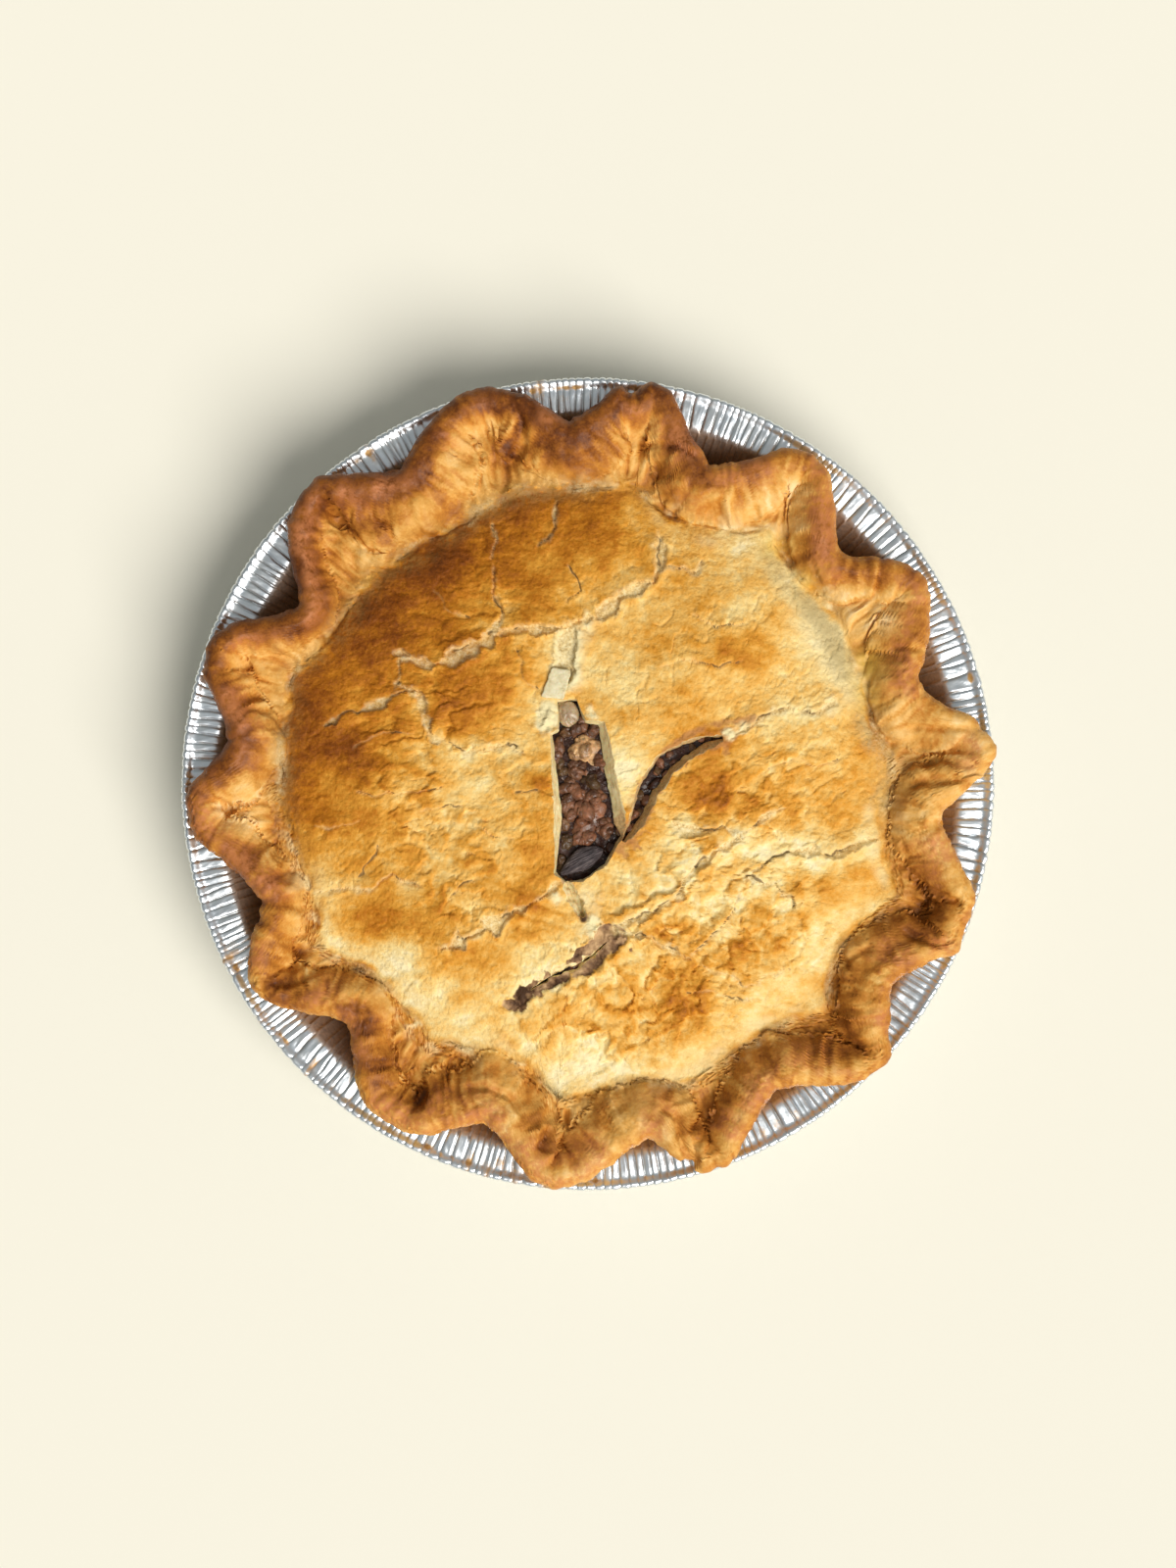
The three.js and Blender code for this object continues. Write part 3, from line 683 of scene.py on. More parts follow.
flakyAreas = [
    (-46, -6, 32, 1.2), (32, -36, 38, 1.0), (-30, 42, 24, 0.6), (4, -72, 24, 0.7), (-48, -32, 20, 0.5),
    (44, 8, 16, 0.4),
]
flakeSizes = (  # how broad a flake is, its steps, its noise and its share of the height
    (17.0, 2.4, 44, 1.0), (8.0, 1.4, 45, 0.7), (4.2, 0.9, 49, 0.45), (2.6, 0.8, 48, 0.28),
)
veinSizes = ((10.0, 61, 1.0), (5.5, 62, 0.7))


def lidRelief(x, y):  # millimetres of swell and torn flakes on the plain lid, and where flakes end
    form = lidForm
    lowerRight = smooth((x - 0.9 * y - 5) / 50)
    warpX = x + 2.0 * rough(x / 5, y / 5, 4, 41, 0.62)
    warpY = y + 2.0 * rough(x / 5, y / 5, 4, 42, 0.62)
    relief = form["swell"] * rough(x / 15, y / 13, 3, 43)
    relief += 0.24 * rough(x / 2.6, y / 1.9, 3, 46, 0.6)
    nearEdge = smooth((form["flakyReach"] - np.hypot(x, y)) / 14)
    flaky = clip01(0.15 + softSpots(x, y, flakyAreas)) * (0.25 + 0.75 * nearEdge)
    torn = np.zeros(x.shape)
    crevice = np.zeros(x.shape)
    c, d = math.cos(form["flakeSlant"]), math.sin(form["flakeSlant"])
    sides = [  # flakes lie east to west on the left, and slant on the lower right
        (warpX / 1.8, warpY, 1 - lowerRight),
        ((warpX * c + warpY * d) / 1.4, warpY * c - warpX * d, lowerRight),
    ]
    for u, v, side in sides:
        for size, levels, seed, share in flakeSizes:
            rise, edge, gap = flakes(u, v, size, levels, seed)
            spread = rough(u / (1.2 * size), v / (1.2 * size), 2, seed + 9)
            here = side * flaky * smooth((spread + 0.08 + 0.3 * lowerRight) / 0.3)
            here = here * (1 if size > 5 else 0.75 + 0.25 * lowerRight)
            relief += form["flakeRise"] * (1 + 0.5 * lowerRight) * share * here * rise
            torn = np.maximum(torn, here * share * edge)
            crevice = np.maximum(crevice, here * (0.3 + 0.7 * share) * gap)
    for size, seed, share in veinSizes:
        vein = falloff(rough(warpX / size, warpY / size, 3, seed), 0.055)
        spread = rough(x / (1.6 * size), y / (1.3 * size), 2, seed + 5)
        here = smooth((spread - 0.05 + 0.3 * lowerRight) / 0.25)
        relief -= form["veinDepth"] * share * here * vein
        crevice = np.maximum(crevice, 0.5 * share * here * vein)
    return relief, torn, crevice


soakedLine = [(8.4, -45.4), (1, -50.4), (-5, -54.4), (-11.5, -58), (-17, -61.5), (-22, -65.5)]


def soaked(x, y):  # where gravy boiled out along the lower slash and softened the lid
    wander = 2.8 * rough(x / 4.5, y / 4.5, 4, 88, 0.6)
    away, _, along = lineDistance(x + wander, y - wander, soakedLine)
    reach = mix(3.6, 2.4, along) + 1.8 * rough(along * 9, along * 0, 2, 86)
    return smooth((reach + 0.9 - away) / 2.2)


# Sharp folds pressed into the rim: a line of points, its depth and its half width.
folds = [
    ([(-80.6, 85.2), (-75.1, 79.7), (-70.7, 72.5), (-67.2, 68.1)], 1.3, 1.1),
    ([(-70.7, 82.3), (-71.3, 76.8), (-68.7, 70.4)], 0.9, 0.9),
    ([(-44.3, 102.9), (-40.6, 101.1), (-36.8, 98.0)], 0.5, 0.8),
    ([(-22.6, 115.1), (-19.7, 106.4), (-20.3, 99.4), (-24.1, 93.6)], 1.2, 1.3),
    ([(-102.0, 22.9), (-94.8, 22.0), (-89.8, 15.6)], 0.9, 1.0),
    ([(12.8, 96.5), (18.3, 100.9), (26.7, 99.4), (33.9, 95.1)], 1.0, 0.9),
    ([(58.0, 75.9), (58.5, 68.1), (60.9, 64.0)], 1.4, 1.2),
    ([(88.4, 39.1), (93.3, 40.6), (99.7, 40.0)], 0.9, 1.0),
    ([(84.9, 36.2), (82.9, 27.2), (84.9, 17.1), (90.4, 11.6), (99.0, 12.6)], 0.8, 0.9),
    ([(93.3, 17.1), (102.0, 15.9), (114.8, 16.5)], 1.1, 0.9),
    ([(93.3, 4.3), (104.6, 7.2), (117.4, 4.3)], 1.0, 1.0),
    ([(93.3, -1.2), (102.0, 1.2), (114.8, 1.7)], 1.4, 1.2),
    ([(96.2, -29.3), (106.1, -33.6), (111.9, -36.5)], 1.3, 1.1),
    ([(91.9, -42.9), (99.1, -45.8), (107.5, -48.4)], 1.4, 1.2),
    ([(75.1, -57.7), (79.1, -50.7), (84.9, -47.2)], 0.6, 0.8),
    ([(31.9, -104.6), (31.0, -114.5)], 2.0, 1.4),
    ([(19.7, -94.5), (26.7, -98.8), (29.0, -110.1), (29.6, -117.4)], 1.2, 1.2),
    ([(-55.1, -95.9), (-46.7, -89.0), (-40.9, -83.2), (-31.0, -80.3)], 1.1, 1.8),
    ([(-38.3, -90.4), (-29.6, -89.5), (-22.6, -93.0), (-18.3, -100.3)], 1.0, 1.0),
    ([(-13.9, -108.7), (-11.3, -101.7)], 1.8, 1.6),
    ([(-94.8, -59.1), (-84.9, -57.7), (-77.7, -53.6)], 1.0, 1.2),
    ([(-113.3, -5.2), (-106.1, -8.1), (-100.6, -9.6)], 1.0, 1.1),
]


# Loose pale crumbs of raw dough round the vents: x, y, radius, strength.
doughCrumbs = [
    (-12.4, 21.0, 3.2, 1.0), (-13.6, 16.6, 2.6, 1.0), (-10.6, 18.6, 2.4, 0.9), (-8.0, 31.5, 3.0, 0.25),
    (-6.8, 38.5, 2.6, 0.25), (1.0, 20.8, 2.4, 0.9), (12.6, -14.6, 1.8, 0.8), (-9.0, -34.0, 2.2, 0.6),
    (4.0, -45.0, 3.4, 0.9), (8.5, -43.5, 2.4, 0.8), (1.8, -41.0, 2.2, 0.6), (44.5, -16.0, 2.2, 0.6),
    (41.5, 14.6, 2.4, 0.9), (46.0, 16.6, 2.0, 0.6),
]


def crumbled(x, y):  # height of those crumbs
    ragged = rough(x / 2.4 + rough(x / 2, y / 2, 2, 66), y / 1.9, 4, 67, 0.65)
    return softSpots(x, y, doughCrumbs) * (0.9 * ragged + 0.25)


def foldField(x, y):
    depth = np.zeros(x.shape)
    for path, deep, half in folds:
        path = np.asarray(path)
        near = (x > path[:, 0].min() - 8) & (x < path[:, 0].max() + 8)
        near &= (y > path[:, 1].min() - 8) & (y < path[:, 1].max() + 8)
        px, py = x[near], y[near]
        wx, wy = (p + 0.5 * bumps(px / 3, py / 3, seed) for p, seed in ((px, 71), (py, 72)))
        away, _, along = lineDistance(wx, wy, path)
        ends = smooth((along + 0.02) / 0.2) * smooth((1.02 - along) / 0.2)
        groove = falloff(away, 1.25 * half, 1.7) - 0.35 * falloff(away - 2.6 * half, half)
        depth[near] = np.maximum(depth[near], 1.3 * deep * ends * groove)
    return depth


def rimField(x, y):
    # the crust's upper face out to the crest, and where each point lies on it
    form = crustForm
    gutter = form["gutterHeight"]
    radius = np.hypot(x, y)
    degrees = np.degrees(np.arctan2(y, x))
    here = rimAt(degrees)
    seam = np.interp(np.mod(degrees, 360), evenDegrees, seamLine) + 0.9 * bumps(x / 6, y / 6, 63)
    height = lidHeight(x, y)
    field = {
        "radius": radius,
        "degrees": degrees,
        "seam": seam,
        "onLid": smooth((seam + 0.6 - radius) / 2.4),
        "away": np.full(x.shape, 60.0),
        "foot": degrees.copy(),
        "near": here["near"],
        "onRoll": np.zeros(x.shape),
    }
    outer = radius > form["rimReach"]
    xo, yo, ro, so = x[outer], y[outer], radius[outer], seam[outer]
    away, foot = outlineDistance(xo, yo)
    rim = rimAt(foot)
    valley = smooth((rim["near"] - 0.4) / 0.6)
    spread = mix(rim["inward"] - 0.8, form["lobePocket"], valley) * (1 + 0.16 * rough(xo / 9, yo / 9, 2, 59))
    roll = form["rollWidth"]
    u = clip01((away - roll) / (spread - roll))
    share = mix(mix(np.sqrt(1 - u * u), 1 - u ** 1.4, 0.75), 0.5 + 0.5 * np.cos(np.pi * u), valley)
    crest = mix(form["notchCrest"], form["lobeCrest"], rim["lobe"]) + 0.7 * bumps(foot / 11, foot * 0, 61)
    crest = crest + 0.6 * bumps(foot / 3.5, foot * 0, 60)
    ridge = gutter + (crest - gutter) * share
    inRoll = clip01((roll - away) / roll)
    ridge -= form["rollDepth"] * (1 - np.sqrt(1 - inRoll * inRoll))
    t = clip01((ro - so) / (form["slopeReach"] - so))
    slope = gutter + form["slopeRise"] * (0.45 * t + 0.55 * t ** 2.2) - 0.6 * falloff(ro - so, 1.3)
    under = smoothMax(height[outer], slope, 0.9)
    pressed = form["hollow"] * valley * falloff(away - form["hollowPlace"], form["hollowWidth"])
    height[outer] = smoothMax(under, ridge, 1.6) - pressed
    field["height"] = height
    field["away"][outer] = away
    field["foot"][outer] = foot
    field["near"][outer] = rim["near"]
    field["onRoll"][outer] = smooth((ridge - under + 0.6) / 1.6)
    return field


def blistered(x, y, field):  # where the crest's skin is rough
    crest = falloff(field["away"] - crustForm["crestPlace"], 3.2)
    lower = smooth((60 - y + 0.3 * x) / 60)
    return crest * (0.25 + 0.75 * smooth(1 - field["near"] / 0.7)) * mix(0.3, 1.0, lower)


def rimFolds(x, y, field):  # streaks where the thumb pulled the rim, and its broad puffs
    onRoll = field["onRoll"]
    across = mix(field["degrees"] * 0.75, field["foot"] * 0.75, onRoll)
    inward = np.where(onRoll > 0.5, field["away"], 120 - field["radius"])
    wave = 1.1 * bumps(x / 9, y / 9, 54)
    pulled = rough(across + wave, inward / 15, 3, 51)
    creased = 1 - 2 * np.abs(rough(across * 0.6 + 0.7 * wave, inward / 22, 2, 52))
    slopeShare = smooth((field["away"] - 5) / 5)
    nearSeam = smooth((field["radius"] - field["seam"] - 1) / 6)
    streaks = (pulled + 0.35 * creased) * mix(0.4, 1.0, slopeShare)
    streaks = streaks * mix(0.35, 1.0, np.maximum(nearSeam, onRoll))
    return streaks, 2.1 * rough(x / 10, y / 10, 3, 50) * mix(0.35, 1.0, slopeShare)


def reliefAt(x, y, field):
    onLid = field["onLid"]
    onRim = 1 - onLid
    crack = crackField(x, y)
    grains = rough(x / 1.3, y / 1.3, 3, 56, 0.6)
    wet = soaked(x, y)
    lid = lidRelief(x, y)[0] * (1 - crack["floor"]) * (1 - 0.8 * wet) + lidForm["lipRise"] * crack["lip"]
    lid -= 0.5 * crack["fringe"] * (crack["lip"] < 0.3)
    lid -= crack["depth"] - 0.28 * crack["floor"] * grains
    relief = onLid * lid + crumbled(x, y)
    relief += wet * (0.45 * grains + 0.5 * rough(x / 3, y / 3, 2, 65) - 1.3)
    streaks, puffs = rimFolds(x, y, field)
    blisters = blistered(x, y, field) * 0.75 * rough(x / 2.3, y / 2.3, 4, 55, 0.6)
    rim = 1.55 * streaks + puffs + blisters + 0.16 * rough(x / 2.6, y / 2.6, 3, 53) - foldField(x, y)
    return relief + onRim * rim


def crustUnderside(edge):  # corners below the roll: hanging inside the tin, or resting on its flange
    form = crustForm
    seat = form["seat"]
    wallFoot, wallLean, wallLow, wallTop = form["tinWall"]
    onFlange = smooth((edge - form["flangeEdge"]) / 3)
    inside = [(edge - 0.8, 30.8), (edge - 0.6, 28.4), (edge - 0.8, 23.0), (edge - 0.8, 17.0)]
    resting = [(edge - 3.6, seat + 0.1), (mix(110.6, edge, 0.4), seat), (110.4, seat + 0.3), (109.6, 26.6)]
    corners = []
    for (insideRadius, insideHeight), (restRadius, restHeight) in zip(inside, resting):
        radius = mix(insideRadius, restRadius, onFlange)
        height = mix(insideHeight, restHeight, onFlange)
        wall = wallFoot + wallLean * (np.minimum(height, wallTop) - wallLow) - form["wallGap"]
        radius = np.where(height < seat - 0.3, np.minimum(radius, wall), radius)
        corners.append((radius, height))
    return corners


def crustSkin():
    form = crustForm
    full = form["segments"]
    rings = []
    steps = int(form["lidRadius"] / form["lidStep"])
    for k in range(1, steps + 1):
        share = k / steps
        count = full
        for part, limit in form["sparser"]:
            if share < limit:
                count = full // part
        degrees = ringDegrees(count)
        radius = share * mix(form["lidRadius"], rimAt(degrees)["crease"], smooth(share))
        rings.append(ringAt(radius, 0.0, degrees))
    degrees = ringDegrees(full)
    rim = rimAt(degrees)
    slope = np.interp(degrees, outlineAngles, outlineSlope)
    rollOut = np.minimum(form["rollWidth"] * np.sqrt(1 + slope ** 2), form["rollLimit"])
    crestRadius = rim["edge"] - rollOut
    for k in range(1, form["slopeRings"] + 1):
        rings.append(ringAt(mix(rim["crease"], crestRadius, k / form["slopeRings"]), 0.0, degrees))
    topRings = len(rings)

    flat = np.concatenate(rings)
    flat[:, 2] = rimField(flat[:, 0], flat[:, 1])["height"]
    rings = np.split(flat, np.cumsum([len(ring) for ring in rings])[:-1])
    crest = rings[-1][:, 2]
    for tilt in np.linspace(*form["rollTurn"], form["rollRings"]):
        lean = math.radians(tilt)
        lastRadius = crestRadius + rollOut * math.cos(lean)
        lastHeight = crest - form["rollDepth"] * (1 - math.sin(lean))
        rings.append(ringAt(lastRadius, lastHeight, degrees))
    for radius, height in crustUnderside(rim["edge"]):
        for step in (0.5, 1.0):
            rings.append(ringAt(mix(lastRadius, radius, step), mix(lastHeight, height, step), degrees))
        lastRadius, lastHeight = radius, height
    for part, radius, height in form["footRings"]:
        rings.append(ringAt(radius, height, ringDegrees(full // part)))
    counts = [len(ring) for ring in rings]
    middle = lidHeight(np.zeros(1), np.zeros(1))[0]
    points = skinPoints((0, 0, middle), rings, (0, 0, form["footRings"][-1][2]))
    return points, skinFaces(counts), 1 + sum(counts[:topRings])


def fillingMass(grown, segments=240):  # the filling as one mass, or the hollow for it, a little larger
    form = fillingForm
    degrees = ringDegrees(segments)
    theta = np.radians(degrees)
    crease = rimAt(degrees)["crease"]
    foot = form["foot"] - grown
    rings = []
    for share in np.concatenate([np.linspace(0.008, 0.50, 62), np.linspace(0.54, 0.92, 14)]):
        radius = share * 0.92 * crease
        lid = lidHeight(radius * np.cos(theta), radius * np.sin(theta))
        rings.append(ringAt(radius + grown, lid - crustForm["thickness"] - form["gap"] + grown, degrees))
    for radius, height in (*form["sides"], (form["footRadius"], foot)):
        rings.append(ringAt(radius + grown, height, degrees))
    top = lidHeight(np.zeros(1), np.zeros(1))[0] - crustForm["thickness"] - form["gap"] + grown
    return skinPoints((0, 0, top), rings, (0, 0, foot)), skinFaces([segments] * len(rings))


def closedLoop(outline, step):  # evenly spaced points round an outline
    outline = np.asarray(outline, float)
    loop = np.concatenate([outline, outline[:1]])
    length = np.concatenate([[0], np.cumsum(np.hypot(*np.diff(loop, axis=0).T))])
    count = int(length[-1] / step)
    at = np.arange(count) * length[-1] / count
    return np.stack([np.interp(at, length, loop[:, k]) for k in (0, 1)], 1)


def pairedLoops(first, second, step):  # points round two outlines that match corner by corner
    loops = [], []
    for k in range(len(first)):
        ends = [(np.array(line[k]), np.array(line[(k + 1) % len(line)])) for line in (first, second)]
        longest = max(np.hypot(*(b - a)) for a, b in ends)
        share = (np.arange(math.ceil(longest / step)) / math.ceil(longest / step))[:, None]
        for loop, (a, b) in zip(loops, ends):
            loop.append(a + (b - a) * share)
    return np.concatenate(loops[0]), np.concatenate(loops[1])


def ventCutter(material):
    middle = np.array([-1.0, -4.0])
    surface = lidHeight(*middle[:, None])[0]
    top, low = pairedLoops(ventTop, ventFloor, 0.35)
    count = len(top)
    rings = []
    for depth in [-6.0, -1.2] + list(np.linspace(-0.5, 5.2, 18)) + [9.0]:
        share = clip01(depth / 4.0)
        ring = mix(top, low, share)
        height = surface - depth
        wobble = rough(ring[:, 0] / 2.2 + depth, ring[:, 1] / 2.2, 3, 81) * 0.42
        wobble += rough(ring[:, 0] / 7, ring[:, 1] / 7, 2, 82) * 0.6
        outward = ring - middle
        outward /= np.linalg.norm(outward, axis=1)[:, None]
        flare = 0.5 * clip01((0.2 - depth) / 0.6)
        ring = ring + outward * (wobble + flare)[:, None]
        rings.append(np.column_stack([ring, np.full(count, height)])[::-1])
    points = skinPoints((*middle, surface + 6), rings, (*middle, surface - 9))
    return makePiece("ventCutter", points, skinFaces([count] * len(rings)), material)


def slitCutter(path, width, fray, deep, seed, material):
    path = np.asarray(path, float)
    length = np.concatenate([[0], np.cumsum(np.hypot(*np.diff(path, axis=0).T))])
    count = int(length[-1] / 0.35)
    at = np.linspace(0, length[-1], count + 2)
    line = np.stack([np.interp(at, length, path[:, k]) for k in (0, 1)], 1)
    blur = np.array([1, 4, 7, 9, 7, 4, 1]) / 33.0
    for _ in range(4):  # rounds the corners of the line
        inner = np.stack([np.convolve(line[:, k], blur, "same") for k in (0, 1)], 1)
        line[4:-4] = inner[4:-4]
    ahead = np.gradient(line, axis=0)
    ahead /= np.linalg.norm(ahead, axis=1)[:, None]
    side = np.stack([ahead[:, 1], -ahead[:, 0]], 1)
    along = at / at[-1]
    surface = lidHeight(line[:, 0], line[:, 1])
    half = 0.5 * width * np.sin(np.pi * np.clip(along, 0.02, 0.98)) ** 0.6
    rings = []
    levels = [5.0, 1.2] + list(np.linspace(0.5, -0.65 * deep, 14)) + [-deep]
    for k in range(1, count + 1):
        ring = []
        for way, order, lean, wider in ((1, levels, 2.3, 0.5), (-1, levels[::-1], 0.5, 0)):
            for level in order:
                flare = 0.4 * clip01((level + 0.2) / 0.6)
                spot = np.array([along[k] * length[-1] / 2 + way * 40.0]), np.array([level / 2])
                ragged = fray * float(rough(*spot, 2, seed)[0])
                slope = lean * clip01(-level / 4) * min(1, half[k])
                reach = max(0.12, half[k] - slope + (flare + ragged + wider) * min(1, half[k]))
                ring.append((*(line[k] + way * side[k] * reach), surface[k] + level))
        rings.append(np.array(ring)[::-1])
    ends = [(*line[k], surface[k] - 0.19 * deep) for k in (0, -1)]
    points = skinPoints(ends[0], rings, ends[1])
    faces = skinFaces([len(rings[0])] * len(rings))
    return makePiece("slitCutter", points, faces, material)


flapForm = {
    "corners": [(-14.0, 25.6), (-7.0, 24.9), (-4.9, 33.6), (-10.6, 34.4)],
    "rise": 1.15,
    "sunk": 1.2,
}


def makeFlap(material):  # a torn square of raw dough, stuck on at the head of the vent
    form = flapForm
    loop = closedLoop(form["corners"], 0.25)
    blur = np.array([1, 2, 3, 2, 1]) / 9.0
    for _ in range(2):
        turned = np.concatenate([loop[-2:], loop, loop[:2]])
        loop = np.stack([np.convolve(turned[:, k], blur, "valid") for k in (0, 1)], 1)
    ragged = [rough(loop[:, 0] / 1.6, loop[:, 1] / 1.6, 2, seed) for seed in (85, 86)]
    loop = loop + 0.28 * np.stack(ragged, 1)
    middle = loop.mean(axis=0)
    ground = lidHeight(*middle[:, None])[0]
    rings = []
    top, low = form["rise"], -form["sunk"]
    steps = [(k / 16, top) for k in range(1, 15)]
    steps += [(0.93, top - 0.04), (0.97, top - 0.15), (0.99, top - 0.35), (1.0, top - 0.6), (1.0, top - 1.0)]
    steps += [(0.98, low + 0.3), (0.92, low), (0.5, low)]
    for share, height in steps:
        ring = middle + (loop - middle) * share
        lean = 0.05 * (ring[:, 0] - middle[0])
        uneven = 0.16 * rough(ring[:, 0] / 2.4, ring[:, 1] / 2.4, 3, 87) + lean
        rings.append(np.column_stack([ring, ground + height + uneven * (height > 0)]))
    points = skinPoints((*middle, ground + top), rings, (*middle, ground + low))
    return makePiece("flap", points, skinFaces([len(loop)] * len(rings)), material)


browned = [  # where the lid is browner (+) or paler (-): x, y, radius, strength
    (-67, 9, 12, 0.28), (-50, 18, 12, 0.18), (-32, 27, 12, 0.22), (-72, -6, 10, 0.08),
    (-50, 58, 15, 0.08), (-30, 70, 15, 0.04), (4, 67, 16, 0.12), (-15, -2, 7, 0.16),
    (-15, -14, 7, 0.18), (-15, -26, 7, 0.14), (30, 22, 12, 0.14), (44, 42, 13, 0.08), (36, -1, 9, 0.24),
    (60, 3, 12, 0.16), (17, -61, 11, 0.13), (-6, -77, 9, 0.06), (49, -58, 12, 0.07),
    (-64, -41, 11, 0.20), (-36, -51, 10, 0.12), (-58, -22, 15, 0.08), (22, 62, 11, 0.10),
    (-22, -38, 9, 0.10), (64, 50, 12, -0.20), (74, 34, 10, -0.18), (10, 5, 8, -0.28), (4, 34, 8, -0.22),
    (-32, 0, 10, -0.14), (14, 30, 7, -0.12), (30, -30, 15, -0.12), (66, -26, 14, -0.12),
    (-20, -68, 16, -0.14), (-50, -58, 13, -0.10), (10, -88, 14, -0.12), (-14, 34, 8, -0.10),
    (0, -50, 8, -0.14), (-45, -4, 14, -0.08), (32, 32, 10, -0.06), (0, -76, 16, -0.10),
    (89, 12, 13, 0.28), (71, 60, 13, 0.28), (86, 34, 8, 0.16), (-84, -2, 9, 0.08), (60, 20, 8, -0.08),
    (24, 2, 7, -0.08), (-20, 56, 9, 0.06), (-34, 33, 14, 0.10), (-50, 50, 16, 0.06),
]
rimBrowned = [  # the same on the rim
    (108, 0, 20, -0.12), (0, 106, 30, 0.17), (-74, 74, 30, 0.15), (-108, 10, 20, 0.05), (0, -104, 30, -0.12),
    (84, 84, 30, -0.04), (-90, -60, 20, -0.05), (84, 66, 16, 0.02),
]
paleSpots = [  # raw pale dough: round the head of the vent, and towards the seam at the upper right
    (-6, 40, 5, 0.7), (-5, 31, 5, 0.7), (-11, 21, 4, 0.5), (0, 45, 4, 0.4), (68, 47, 9, 0.6),
    (74, 36, 7, 0.6), (60, 60, 8, 0.4), (78, 26, 6, 0.5), (10, 8, 5, 0.3), (2, -34, 5, 0.4),
    (0, -44, 6, 0.5), (26, 84, 7, 0.5), (44, 78, 7, 0.3), (-30, -1, 5, 0.3), (12, 2, 4, 0.4),
    (13, -6, 3, 0.5), (-2, -33, 4, 0.4), (20, 20, 6, 0.2),
]
rawSpots = [  # greyish raw dough beside the seam at the right
    (75, 38, 10, 0.7), (66, 50, 10, 0.8), (84, 16, 9, 0.5), (52, 64, 9, 0.6), (30, 82, 8, 0.5),
    (88, -2, 8, 0.4),
]
buttery = [(56, 71, 4, 0.7), (66, 60, 4, 0.4), (83, 36, 5, 0.6), (82, 26, 5, 0.5)]
stainedLip = [(14, -7), (18.5, 3), (22.5, 9.5), (28.5, 14.0), (34.5, 16.6), (41, 18.2), (49, 19.4)]


def crustPlaces(x, y, z, field):  # which part of the crust each point is on, as shares from 0 to 1
    inside = field["seam"] - field["radius"]  # millimetres in from the seam
    onLid = smooth((inside + 1.2 + 2.4 * rough(x / 5, y / 5, 3, 64)) / 4)
    return {
        "inside": inside,
        "slitAway": lineDistance(x, y, slits[0][0])[0],  # millimetres from the right slit
        "onLid": onLid,
        "onRim": 1 - onLid,
        "upperLeft": smooth(((y - x) * 0.707 - 18) / 62),
        "upperRight": smooth(((x + y) * 0.707 - 30) / 50),
        "lowerRight": smooth(((x - y) * 0.707 - 10) / 60),
        "upper": smooth((z - 34.5) / 6),
        "crestBand": falloff(field["away"] - crustForm["crestPlace"], 3.6),
    }


def lidBake(x, y, field, at, crack, lid):  # how brown the lid is, with painted shade towards the upper left and in crevices
    relief, torn, crevice = lid
    upperLeft = at["upperLeft"]
    # partly painted shade: darker towards the upper left, where the lid faces away from the light
    bake = 0.385 + softSpots(x, y, browned) + 0.18 * upperLeft + 0.12 * crack["lip"]
    bake += 0.27 * relief + 0.21 * rough(x / 14, y / 10, 5, 91, 0.65) + 0.08 * rough(x / 4, y / 3, 3, 92)
    # painted shade: darker at the seam on the upper left; paler at the seam elsewhere
    bake -= (0.16 - 0.36 * upperLeft) * falloff(at["inside"], 11)
    # the crevice term is painted shade in the flakes' crevices
    bake += 0.10 * torn * rough(x / 5, y / 5, 2, 97) + (0.14 + 0.12 * at["lowerRight"]) * crevice
    bake += 0.14 * falloff(at["slitAway"] - 2.5, 2.2) * smooth(0.6 + rough(x / 5, y / 5, 2, 84))
    # partly painted shade: the outer band darker at the upper left
    bake += 0.17 * upperLeft * smooth((field["radius"] - 50) / 25) - 0.15 * crack["fringe"]
    return bake - 0.4 * np.maximum(0, bake - 0.66)


def rimBake(x, y, field, at):  # how brown the rim is, with painted shade and highlights on its lobes, outer edge and streaks
    away = field["away"]
    upperLeft, lowerRight = at["upperLeft"], at["lowerRight"]
    calm = 1 - 0.5 * lowerRight
    notch = smooth(1 - field["near"] / 0.6)
    body = smooth(field["near"] / 0.5) * falloff(away - 11, 4.5)
    streaks, puffs = rimFolds(x, y, field)
    across = mix(field["degrees"], field["foot"], field["onRoll"])
    pulledFine = rough(across * 2.2 + bumps(x / 7, y / 7, 57), (120 - field["radius"]) / 12, 2, 58)
    bake = 0.57 + (1 - lowerRight) * (0.08 - 0.14 * (1 - at["upper"]))
    bake += (0.10 - 0.20 * lowerRight + 0.12 * notch * calm + 0.10 * upperLeft) * at["crestBand"]
    # partly painted shade: the outer edge darker at the upper left, where it faces away from the light
    bake += (0.04 + 0.12 * upperLeft) * smooth((4.0 - away) / 3.0)
    # painted shade and highlight: lobe pockets darker on the lower right, which faces away from the light,
    # lighter on the upper left and upper right
    bake += (0.19 * lowerRight - 0.16 * upperLeft - 0.13 * at["upperRight"]) * body
    # painted shade in the lobe pockets of the lower half
    bake += 0.12 * (1 - upperLeft) * smooth(-y / 40) * body
    bake += 0.15 * pulledFine + 0.19 * calm * rough(x / 13, y / 13, 3, 93)
    bake += 0.08 * rough(x / 4, y / 4, 3, 94)
    # streak and puff ridges painted lighter and their creases darker: partly the pulled dough's colour,
    # partly painted highlight and shade
    bake -= 0.27 * calm * streaks + 0.10 * calm * puffs
    bake += softSpots(x, y, rimBrowned)
    bake += 0.30 * blistered(x, y, field) * rough(x / 2.3, y / 2.3, 4, 55, 0.6)
    return np.minimum(bake, 0.84 - 0.08 * lowerRight + 0.08 * rough(x / 5, y / 5, 2, 104))


